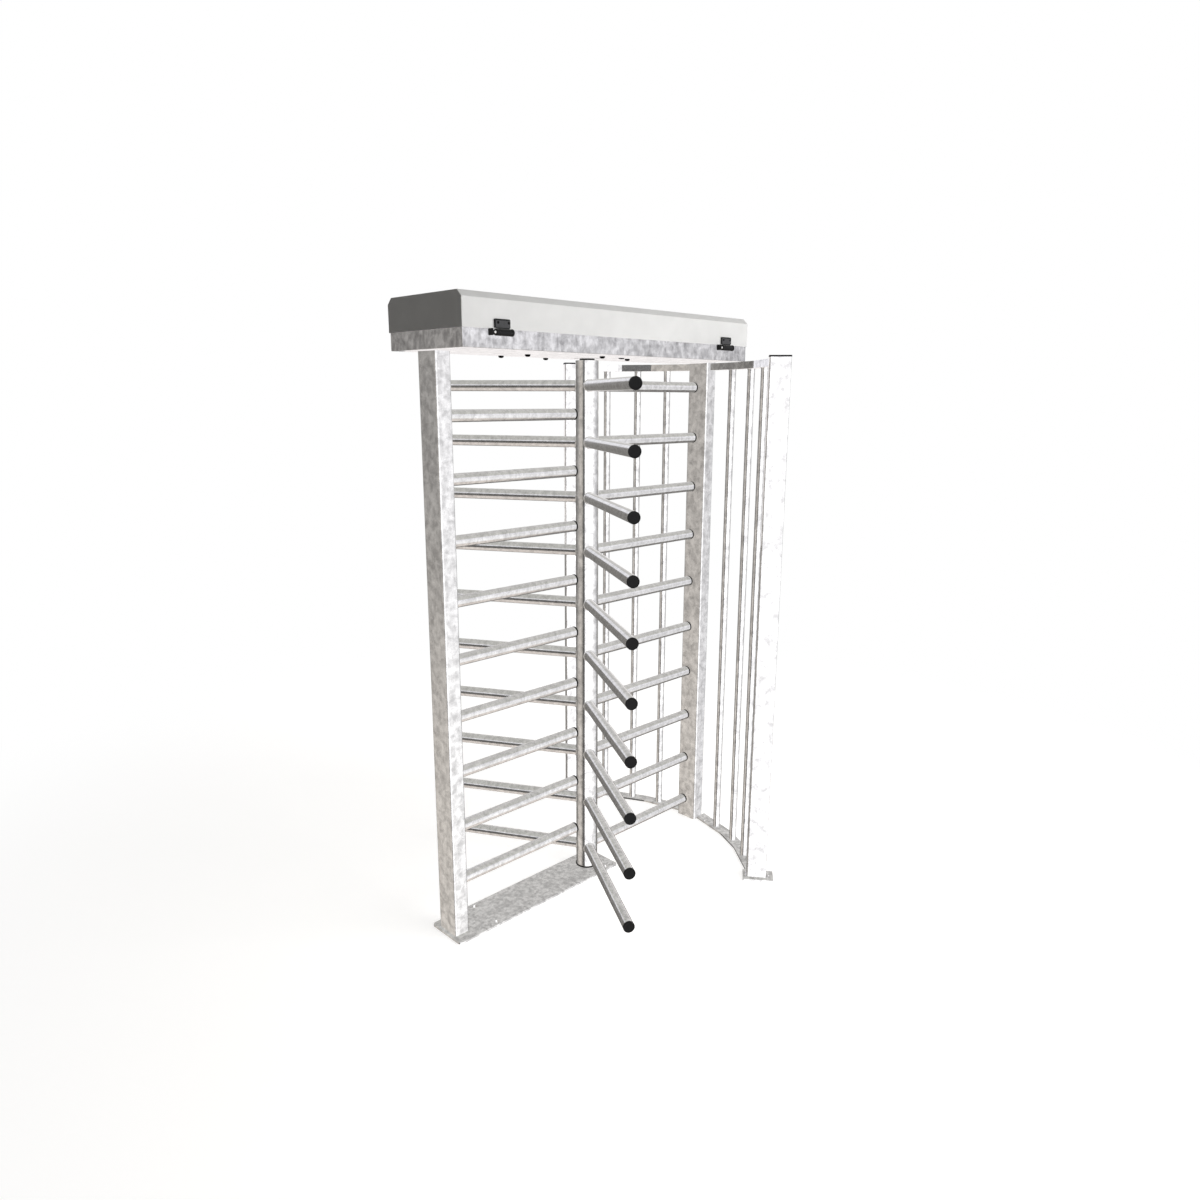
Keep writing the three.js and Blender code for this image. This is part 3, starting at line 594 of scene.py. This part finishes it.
def weld_ring(radius, leg, ripples):
    """The bead round a tube's end, about the X axis, with the ripples that the torch leaves."""
    bm = bmesh.new()
    at = Matrix.Translation((0, radius, 0))
    bmesh.ops.create_circle(bm, segments=bead_sides, radius=leg, matrix=at)
    for v in spun(bm, (1, 0, 0), 2 * round_sides).verts:
        v.co.x *= 1 + ripple_depth * math.sin(ripples * math.atan2(v.co.z, v.co.y))
    return bm


def turned(profile, steps=round_sides, ring=False):
    """A shape turned about the Z axis from (radius, height) corners, which start and end on the
    axis or make a closed outline for a ring. A corner's third value is the width of its chamfer."""
    points = []
    for i, (radius, z, *chamfer) in enumerate(profile):
        if not chamfer:
            points.append((radius, z))
            continue
        for next_radius, next_z, *_ in (profile[i - 1], profile[(i + 1) % len(profile)]):
            share = chamfer[0] / math.hypot(next_radius - radius, next_z - z)
            points.append((radius + (next_radius - radius) * share, z + (next_z - z) * share))
    bm = bmesh.new()
    verts = [bm.verts.new((radius, 0, z)) for radius, z in points]
    for pair in zip(verts, verts[1:] + verts[:1] * ring):
        bm.edges.new(pair)
    return spun(bm, (0, 0, 1), steps)


def round_cap(end):
    """A push-in cap on a tube along the X axis, with its face at end."""
    start = end - cap_height
    profile = [(0, start), (cap_radius, start), (cap_radius, end - cap_round)]
    for degrees in (30, 60, 90):
        angle = math.radians(degrees)
        in_from_side = cap_radius - cap_round + cap_round * math.cos(angle)
        profile.append((in_from_side, end - cap_round * (1 - math.sin(angle))))
    profile += [(radius, end - depth) for radius, depth in cap_dome]
    return placed(turned(profile), to_x_axis)


# Drawn tube has an even wall and a smooth skin, with faint clouds only
zinc_tube = zinc_skin(
    "hot_dip_galvanised_tube",
    cloud_size=0.018,
    streak_share=0.2,
    tones=("#CFCECE", "#DAD9D9", "#E3E2E2", "#EDECEC"),
)
# Moulded polyethylene: black, half matt, with the fine spark-eroded grain of its mould
black_polyethylene, tree, shader = new_finish(
    "black_moulded_polyethylene", "#0F0F10", metallic=0, IOR=1.51, Specular_IOR_Level=0.16
)
vary(shader, noise(tree, size=0.02, detail=3), rough=(0.42, 0.6))
emboss(shader, noise(tree, size=0.0012, detail=2), strength=0.15, depth=0.0002)

caps = bmesh.new()
for i in range(bar_count):
    place = Matrix.Translation((0, frame_line, top_arm_z - arm_pitch * (i + 0.5)))
    bead = placed(weld_ring(tube_radius, bar_bead, bar_ripples), Matrix.Translation((bar_start, 0, 0)))
    bm = placed(joined(round_bar(tube_radius, bar_start, bar_end - cap_height), bead), place)
    add_piece(bm, f"barrier_tube_{i + 1}", zinc_tube, "frame", "galvanised", f"barrier_bar_{i + 1}")
    joined(caps, placed(round_cap(bar_end), place))
add_piece(caps, "barrier_caps", black_polyethylene, "frame", "black_plastic")

# Rotor column: 88.9 mm round tube, turned at both ends, with the journal that runs up into the
# head. A black ring seals it at the foot, and the neck of the top bearing does so at the head.
column_radius = 0.04445
column_low, column_high = 0.0136, 2.0922
journal_radius, journal_high = 0.025, 2.172
column_edge, column_sides = 0.001, 72
bm = turned(
    [
        (0, column_low),
        (column_radius, column_low, column_edge),
        (column_radius, column_high, column_edge),
        (journal_radius, column_high),
        (journal_radius, journal_high, column_edge),
        (0, journal_high),
    ],
    column_sides,
)
add_piece(bm, "column_tube", hot_dip_zinc, "rotor", "galvanised", "rotor_column")

foot_ring_radius, foot_ring_low, foot_ring_high = 0.047, 0.0081, 0.0133
foot_ring_low_edge, foot_ring_high_edge = 0.0006, 0.001
spigot_radius, spigot_high = 0.0395, 0.048
bm = turned(
    [
        (0, foot_ring_low),
        (foot_ring_radius, foot_ring_low, foot_ring_low_edge),
        (foot_ring_radius, foot_ring_high, foot_ring_high_edge),
        (spigot_radius, foot_ring_high),
        (spigot_radius, spigot_high),
        (0, spigot_high),
    ],
    column_sides,
)
add_piece(bm, "floor_ring", black_polyethylene, "frame", "black_plastic", "floor_bearing")

# Wings: three rows of ten arms, a third of a turn apart. Each arm is 42.4 mm tube, cut to the
# curve of the column, welded to it all round, and closed by a black cap.
arm_reach, arm_count, wing_count = 0.6375, 10, 3
arm_bead, arm_ripples = 0.0032, 24


def follow_column(bm):
    """Curves the inner end of a shape that lies along X to the round of the column."""
    for v in bm.verts:
        if v.co.x < arm_reach / 2:
            v.co.x += math.sqrt(column_radius**2 - v.co.y**2) - column_radius
    return bm


for wing in range(wing_count):
    wing_turn = Matrix.Rotation(2 * math.pi * wing / wing_count, 4, "Z")
    caps = bmesh.new()
    for i in range(arm_count):
        place = wing_turn @ Matrix.Translation((0, 0, top_arm_z - arm_pitch * i))
        tube = round_bar(tube_radius, column_radius + fit_gap, arm_reach - cap_height)
        bead = weld_ring(tube_radius, arm_bead, arm_ripples)
        placed(bead, Matrix.Translation((column_radius, 0, 0)))
        bm = placed(joined(follow_column(tube), follow_column(bead)), place)
        node = f"wing_{wing + 1}_arm_{i + 1}"
        add_piece(bm, f"wing_{wing + 1}_tube_{i + 1}", zinc_tube, "rotor", "galvanised", node)
        joined(caps, placed(round_cap(arm_reach), place))
    add_piece(caps, f"wing_{wing + 1}_caps", black_polyethylene, "rotor", "black_plastic")

# Guard: two halves, one each side of the right post. Round bars of 30 mm stand between a flat
# bottom rail and a deeper top rail, both bent in straight lengths, and a box tube ends each half.
guard_radius, guard_bar_radius, guard_bead, guard_ripples = 0.690, 0.015, 0.0022, 18
rail_radii = (0.664, 0.717)
first_bar_angle, bar_step, guard_bar_count = 15.1, 11.7, 3
top_rail_low, top_rail_high, bottom_rail_high = 2.0717, 2.0997, 0.008
end_angle, end_inner, end_length, end_width, end_corner = 52.5, 0.677, 0.080, 0.050, 0.005
end_bead, end_high, end_cap_high, end_cap_lip, end_cap_edge = 0.004, 2.104, 2.110, 0.0012, 0.002
foot_start, foot_length, foot_width, foot_corner, foot_hole = 0.662, 0.125, 0.080, 0.003, 0.006
rail_hole_radius, rail_hole_angle = 0.679, 9.3
guard_edge = 0.0009
# The rails bend by a little less than the bars' step, which shows as an edge
rail_bend = bar_step - 0.2


def on_circle(radius, degrees):
    """A point in plan, from its distance and direction from the rotor's axis."""
    return Vector((radius * math.cos(math.radians(degrees)), radius * math.sin(math.radians(degrees))))


def rail_corners(side):
    """The outline of a rail: it starts clear of the post, bends midway between the bars, and
    runs into the side of the end post."""
    start = post_depth / 2 + fit_gap + side * frame_line
    bend = 1 / math.cos(math.radians(bar_step / 2))
    edges = []
    for radius in rail_radii:
        bends = [
            on_circle(radius * bend, first_bar_angle + bar_step * (i - 0.5))
            for i in range(guard_bar_count + 1)
        ]
        share = (start - bends[0].y) / (bends[1].y - bends[0].y)
        bends[0] = bends[0].lerp(bends[1], share)
        reach = max(radius, end_inner + post_wall)
        seat = on_circle(reach, end_angle) + on_circle(end_width / 2 - post_wall, end_angle - 90)
        edges.append([*bends, seat])
    return [(p.x, side * p.y) for p in [*edges[0], *reversed(edges[1])]]


def upright_bar(radius, low, high):
    """A round bar between two heights, with a bead at each end."""
    bm = round_bar(radius, low, high)
    for z in (low, high):
        bead = weld_ring(radius, guard_bead, guard_ripples)
        joined(bm, placed(bead, Matrix.Translation((z, 0, 0))))
    return placed(bm, Matrix.Rotation(-math.pi / 2, 4, "Y"))


for half, side in (("front", -1), ("back", 1)):
    hole = on_circle(rail_hole_radius, rail_hole_angle)
    rail = rail_corners(side)
    end_turn = Matrix.Rotation(math.radians(side * end_angle), 4, "Z")
    at_end = end_turn @ Matrix.Translation((end_inner + end_length / 2, 0, 0))
    foot_x = (foot_start, foot_start + foot_length)
    foot = rectangle(foot_x, (-foot_width / 2, foot_width / 2))
    foot_bolt = ((end_inner + end_length + foot_x[1]) / 2, 0, foot_hole)
    end_tube = box_tube(end_length, end_width, end_corner, post_wall, bottom_rail_high, end_high)
    end_weld = fillet_weld(end_length, end_width, end_corner, bottom_rail_high, end_bead)
    bm = joined(
        cut_plate(rail, 0, [(hole.x, side * hole.y, foot_hole)], 0, bottom_rail_high),
        cut_plate(rail, 0, [], top_rail_low, top_rail_high),
        placed(cut_plate(foot, foot_corner, [foot_bolt], 0, bottom_rail_high), end_turn),
        placed(end_tube, at_end),
        placed(end_weld, at_end),
    )
    for i in range(guard_bar_count):
        at = on_circle(guard_radius, first_bar_angle + bar_step * i)
        place = Matrix.Translation((at.x, side * at.y, 0))
        joined(bm, placed(upright_bar(guard_bar_radius, bottom_rail_high, top_rail_low), place))
    name, node = f"guard_{half}_frame", f"guard_{half}"
    piece = add_piece(bm, name, hot_dip_zinc, "frame", "galvanised", node, sharp_from=rail_bend)
    round_edges(piece, guard_edge)

    cap = centred(end_length + 2 * end_cap_lip, end_width + 2 * end_cap_lip)
    bm = placed(cut_plate(cap, end_corner + end_cap_lip, [], end_high, end_cap_high), at_end)
    piece = add_piece(bm, f"guard_{half}_cap", black_polyethylene, "frame", "black_plastic")
    round_edges(piece, end_cap_edge, 3)

# Head tray: one folded box of 3 mm sheet with a return rim, zinc dipped. Its underside has the
# neck of the column's bearing and black rubber plugs in the holes for cables and signal lamps.
touching, fold_steps = 1e-5, 4


def cad_copy(node):
    """A merged copy of a CAD node, with its triangles joined to flat faces."""
    bm = bmesh.new()
    bm.from_mesh(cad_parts[node].data)
    bmesh.ops.remove_doubles(bm, verts=bm.verts[:], dist=touching)
    bmesh.ops.dissolve_limit(
        bm,
        angle_limit=math.radians(1),
        verts=bm.verts[:],
        edges=bm.edges[:],
        use_dissolve_boundaries=False,
    )
    return bm


def bend_edges(bm, box, radius, cut_at=None):
    """Gives the folds of a sheet box their bend radius. The folds are the outward edges on the
    faces of its box, but not those at the height where the sheet is cut."""

    def on_box(v):
        return any(abs(v.co[i] - corner[i]) < touching for corner in box for i in range(3))

    def at_cut(v):
        return cut_at is not None and abs(v.co.z - cut_at) < touching

    folds = [
        e
        for e in bm.edges
        if all(map(on_box, e.verts))
        and not all(map(at_cut, e.verts))
        and len(e.link_faces) == 2
        and e.calc_face_angle_signed() > math.radians(20)
    ]
    bevel(bm, folds, "EDGES", radius, fold_steps)


# Galvanised sheet: duller than tube, with small clouds that run down the sides in streaks
zinc_sheet = zinc_skin(
    "hot_dip_galvanised_sheet",
    cloud_size=0.026,
    streak_share=0.28,
    tones=("#A3A2A3", "#BEBDBE", "#D4D3D4", "#EBEAEB"),
)
tray_bend, tray_edge = 0.0018, 0.0006
bm = cad_copy("head_tray")
bend_edges(bm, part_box("head_tray"), tray_bend)
piece = add_piece(bm, "tray_folded", zinc_sheet, "frame", "galvanised", "head_tray")
round_edges(piece, tray_edge)

# Rubber: black, and dull enough to swallow the light from the floor
black_rubber, tree, shader = new_finish(
    "dull_black_rubber", "#070707", metallic=0, IOR=1.5, Specular_IOR_Level=0.03
)
vary(shader, noise(tree, size=0.003, detail=3), rough=(0.7, 0.9))
# Five round plugs and a flat one in a slot, each with its place in x and y and its scale
round_plug, slot_plug, plug_sides = (1, 1, 1), (1.5, 0.7, 0.5), 32
plug_places = [
    (-0.350, 0.079, round_plug),
    (-0.350, -0.068, round_plug),
    (-0.122, 0.098, round_plug),
    (-0.083, -0.165, round_plug),
    (0.129, -0.086, round_plug),
    (0.063, -0.119, slot_plug),
]
plug_head = [
    (0, 0.0006),
    (0.0094, 0.0006),
    (0.0098, -0.0006),
    (0.0094, -0.0040),
    (0.0074, -0.0068),
    (0.0042, -0.0078),
    (0, -0.0081),
]
plugs = bmesh.new()
for x, y, scale in plug_places:
    head = placed(turned(plug_head, plug_sides), Matrix.Diagonal((*scale, 1)))
    joined(plugs, placed(head, Matrix.Translation((x, y, clear_height))))
add_piece(plugs, "tray_plugs", black_rubber, "frame", "black_plastic")

# Top bearing: cast flange with a hub, seated on the tray floor round the column's journal. Its
# neck comes through the floor and shows black above the column, inside a zinc cover ring.
bearing_bore = 0.0258
neck_radius, flange_radius, hub_radius = 0.0285, 0.065, 0.045
neck_low, flange_low, flange_high, hub_high = 2.0925, 2.1033, 2.114, 2.123
neck_edge, flange_low_edge, flange_high_edge = 0.0008, 0.0006, 0.0015
hub_foot, hub_edge = 0.002, 0.001
housing = [
    (bearing_bore, neck_low),
    (neck_radius, neck_low, neck_edge),
    (neck_radius, flange_low),
    (flange_radius, flange_low, flange_low_edge),
    (flange_radius, flange_high, flange_high_edge),
    (hub_radius, flange_high, hub_foot),
    (hub_radius, hub_high, hub_edge),
    (bearing_bore, hub_high),
]
# Black stove enamel on steel: thin, with a low sheen that follows the metal's fine unevenness
black_enamel, tree, shader = new_finish(
    "black_stove_enamel", "#0F0F10", metallic=0, IOR=1.5, Specular_IOR_Level=0.22
)
waves = noise(tree, size=0.004, detail=3)
vary(shader, waves, rough=(0.3, 0.5))
emboss(shader, waves, strength=0.12, depth=0.0004)
bm = turned(housing, column_sides, ring=True)
add_piece(bm, "bearing_housing", black_enamel, "frame", "black_steel", "top_bearing")

cover_ring_radius, cover_ring_low, cover_ring_high = 0.0505, 2.0988, 2.0997
cover_ring_edge = 0.0004
cover_ring = [
    (neck_radius + fit_gap, cover_ring_low),
    (cover_ring_radius, cover_ring_low, cover_ring_edge),
    (cover_ring_radius, cover_ring_high),
    (neck_radius + fit_gap, cover_ring_high),
]
bm = turned(cover_ring, column_sides, ring=True)
add_piece(bm, "neck_cover_ring", zinc_sheet, "frame", "galvanised")

# Head cover: a lid of folded 2.5 mm sheet with both long edges chamfered, welded at the corners
# and powder coated in pale grey. It hinges at the front and locks at the back.
# Powder coat: an even satin, where a fine peel softens what it mirrors and dust dulls it in patches
powder_coat, tree, shader = new_finish("pale_grey_powder_coat", "#DBDBDA", metallic=0, IOR=1.5)
patches = noise(tree, size=0.09, detail=4, Roughness=0.6)
vary(shader, patches, rough=(0.36, 0.5), tones=("#D8D8D7", "#DEDEDD"))
emboss(shader, noise(tree, size=0.0016, detail=1), strength=0.10, depth=0.0003)

cover_bend, cover_edge = 0.002, 0.0005
cover_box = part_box("head_cover")
bm = cad_copy("head_cover")
bend_edges(bm, cover_box, cover_bend, cut_at=cover_box[0].z)
piece = add_piece(bm, "cover_folded", powder_coat, "cover", "grey_paint", "head_cover")
round_edges(piece, cover_edge)

# Cover hinges: a bracket with two knuckles and a stop ear on the tray, a leaf with the middle
# knuckle on the cover, and a bright pin with a domed end, which the ear keeps from sliding out.
# All but the pin is pressed steel in black enamel, with a painted sheen on the raised panel of the
# leaf. Two screws hold the leaf's raised panel.
hinge_places = {"left": -0.636, "right": 0.474}
hinge_y, hinge_z = -0.290, 2.1475
knuckle_radius, end_knuckle_radius, pin_radius, pin_play = 0.0105, 0.0110, 0.004, 0.0002
knuckle_edge, end_knuckle_edge, bracket_edge = 0.0006, 0.0026, 0.0006
pin_chamfer, pin_proud = 0.0006, 0.0004
outer_knuckles = [
    (-0.027, -0.015, knuckle_radius, knuckle_edge),
    (0.031, 0.0415, end_knuckle_radius, end_knuckle_edge),
]
leaf_knuckle = (-0.014, 0.030)
ear_x, ear_y, ear_half, ear_round = (-0.0465, -0.0425), (-0.3003, -0.2793), 0.0103, 0.003
pad_y, pad_half = (-0.2848, -0.2793), 0.007
leaf_x, leaf_z, leaf_round, leaf_edge = (-0.027, 0.034), (2.1602, 2.187), 0.0036, 0.0012
leaf_back, leaf_thickness = -0.2828, 0.004
leaf_neck_left, leaf_neck_z, leaf_neck_thickness = -0.018, (2.1592, 2.164), 0.0038
panel_x, panel_z, panel_round, panel_edge = (-0.0225, 0.0322), (2.1618, 2.1826), 0.002, 0.0004
panel_proud = 0.0007
knuckle_sides, pin_sides, screw_sides = 36, 32, 24
screw_x, screw_z = (-0.0140, 0.0275), 2.1762
screw_head = [
    (0, -0.0005),
    (0.0042, -0.0005),
    (0.0042, 0.0006),
    (0.0035, 0.0011),
    (0.0019, 0.0012),
    (0.0017, 0.0003),
    (0, 0.0003),
]
along_x = Matrix(((0, 0, 1, 0), (1, 0, 0, 0), (0, 1, 0, 0), (0, 0, 0, 1)))
facing_front = Matrix.Rotation(math.pi / 2, 4, "X")

# The same enamel on the leaf's raised panel, painted greyer in mottled tones as a painted sheen of the
# bright front that its flat face mirrors, and a little smoother
enamel_painted_sheen, tree, shader = new_finish("black_enamel_painted_sheen", "#333334", metallic=0, IOR=1.5)
painted_sheen_mottle = noise(tree, size=0.007, detail=4, Roughness=0.6)
vary(shader, painted_sheen_mottle, rough=(0.34, 0.46), tones=("#2D2D2E", "#38383A"))

# Blackened screws: a thin dull oxide that swallows light
screw_black, tree, shader = new_finish(
    "black_oxide_screw_steel", "#0A0A0B", metallic=0, IOR=1.5, Specular_IOR_Level=0.08
)
vary(shader, noise(tree, size=0.0015, detail=2), rough=(0.5, 0.7))

# Bright zinc plate: it mirrors the room, drawn out along the pin by the marks of the lathe
bright_pin, tree, shader = new_finish("bright_zinc_plated_pin", "#E4E5E6", metallic=1)
coords = add_node(tree, "TexCoord").outputs["Object"]
drawn_out = add_node(tree, "Mapping", {"Vector": coords, "Scale": (1, 0.1, 0.1)})
vary(shader, noise(tree, size=0.0008, detail=2, vector=drawn_out), rough=(0.16, 0.3))


def knuckle(start, end, radius, edge):
    """A rolled knuckle about the hinge's axis, with the bore for the pin."""
    bore = pin_radius + pin_play
    profile = [(bore, start), (radius, start, edge), (radius, end, edge), (bore, end)]
    at_axis = Matrix.Translation((0, hinge_y, hinge_z))
    return placed(turned(profile, knuckle_sides, ring=True), at_axis, along_x)


def pressed_plate(corners, corner_radius, thickness):
    """A plate of the leaf that stands upright and faces the front, from its corners in x and z."""
    bm = cut_plate(corners, corner_radius, [], 0, thickness)
    return placed(bm, Matrix.Translation((0, leaf_back, 0)), facing_front)


for side, x in hinge_places.items():
    to_place = Matrix.Translation((x, 0, 0))
    ear = rectangle(ear_y, (hinge_z - ear_half, hinge_z + ear_half))
    bracket = placed(cut_plate(ear, ear_round, [], *ear_x), along_x)
    for start, end, radius, edge in outer_knuckles:
        pad = cut_plate(rectangle((start, end), pad_y), 0, [], hinge_z - pad_half, hinge_z + pad_half)
        joined(bracket, knuckle(start, end, radius, edge), pad)
    name, node = f"hinge_knuckles_{side}", f"hinge_bracket_{side}"
    piece = add_piece(placed(bracket, to_place), name, black_enamel, "frame", "black_steel", node)
    round_edges(piece, bracket_edge)

    leaf_neck = [
        (leaf_knuckle[0], hinge_z + pin_radius),
        (leaf_knuckle[1], hinge_z + pin_radius),
        (leaf_knuckle[1], leaf_neck_z[1]),
        (leaf_neck_left, leaf_neck_z[1]),
        (leaf_neck_left, leaf_neck_z[0]),
        (leaf_knuckle[0], leaf_neck_z[0]),
    ]
    leaf = joined(
        pressed_plate(rectangle(leaf_x, leaf_z), leaf_round, leaf_thickness),
        pressed_plate(leaf_neck, 0, leaf_neck_thickness),
        knuckle(*leaf_knuckle, knuckle_radius, knuckle_edge),
    )
    name, node = f"hinge_wing_{side}", f"hinge_leaf_{side}"
    piece = add_piece(placed(leaf, to_place), name, black_enamel, "cover", "black_steel", node)
    round_edges(piece, leaf_edge)

    # The raised panel carries the painted sheen: its enamel is painted greyer, standing in for the
    # bright front that it mirrors
    panel = pressed_plate(rectangle(panel_x, panel_z), panel_round, leaf_thickness + panel_proud)
    placed(panel, to_place)
    piece = add_piece(panel, f"hinge_panel_{side}", enamel_painted_sheen, "cover", "black_steel")
    round_edges(piece, panel_edge)

    screws = bmesh.new()
    for across in screw_x:
        at = Matrix.Translation((x + across, leaf_back - leaf_thickness - panel_proud, screw_z))
        joined(screws, placed(turned(screw_head, screw_sides), at, facing_front))
    add_piece(screws, f"hinge_screws_{side}", screw_black, "cover", "black_steel")

    dome_from, pin_end = outer_knuckles[0][0], outer_knuckles[1][1]
    pin_profile = [(0, dome_from - pin_radius)]
    for degrees in (20, 40, 60, 80):
        angle = math.radians(degrees)
        pin_profile.append((pin_radius * math.sin(angle), dome_from - pin_radius * math.cos(angle)))
    pin_profile += [
        (pin_radius, dome_from),
        (pin_radius, pin_end - pin_chamfer),
        (pin_radius - pin_chamfer, pin_end + pin_proud / 2),
        (0, pin_end + pin_proud),
    ]
    at_axis = Matrix.Translation((x, hinge_y, hinge_z))
    pin = placed(turned(pin_profile, pin_sides), at_axis, along_x)
    add_piece(pin, f"hinge_pin_{side}", bright_pin, "frame", "machined_steel")

# Lock gear in the head: toothed wheel with stop lugs on the journal, two pawls on rotary
# solenoids, and a damper with its pinion in the teeth. All of it is machined or plated steel.

# Machined steel: grey, with the rings of the lathe, and darker where a film of oil lies on it.
# The wave texture turns by 20 radians over each unit of its scale.
turning_mark, wave_factor = 0.0009, 20
machined_steel, tree, shader = new_finish("machined_carbon_steel", "#9C9D9E", metallic=0.95)
vary(shader, noise(tree, size=0.03, detail=3), rough=(0.24, 0.42), tones=("#85868A", "#A8A9AA"))
coords = add_node(tree, "TexCoord").outputs["Object"]
wave = add_node(
    tree,
    "TexWave",
    {"Vector": coords, "Scale": 1 / (wave_factor * turning_mark), "Distortion": 0.4, "Detail": 2},
    wave_type="RINGS",
    rings_direction="Z",
)
rings = wave.outputs["Fac"]
emboss(shader, rings, strength=0.06, depth=0.0002)


def finish_node(node, material):
    """Gives a CAD node that stays as it is its material."""
    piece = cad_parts[node]
    piece.visible_glossy = False
    for slot in piece.material_slots:
        slot.material = material


for node in ("lock_wheel", "damper_pinion", "lock_frame", "lock_pawl_entry", "lock_pawl_exit"):
    finish_node(node, machined_steel)
finish_node("rotary_damper", black_enamel)

# Cover lock: a quarter-turn cam lock of brass in the back of the cover, nickel plated to a warm
# bright metal that the key has dulled in smears. Its hook passes the notch in the tray's rim and
# turns under it.
nickel_plate, tree, shader = new_finish("nickel_plated_brass", "#C6C4BE", metallic=1)
vary(shader, noise(tree, size=0.006, detail=3), rough=(0.18, 0.34))
finish_node("cover_lock", nickel_plate)
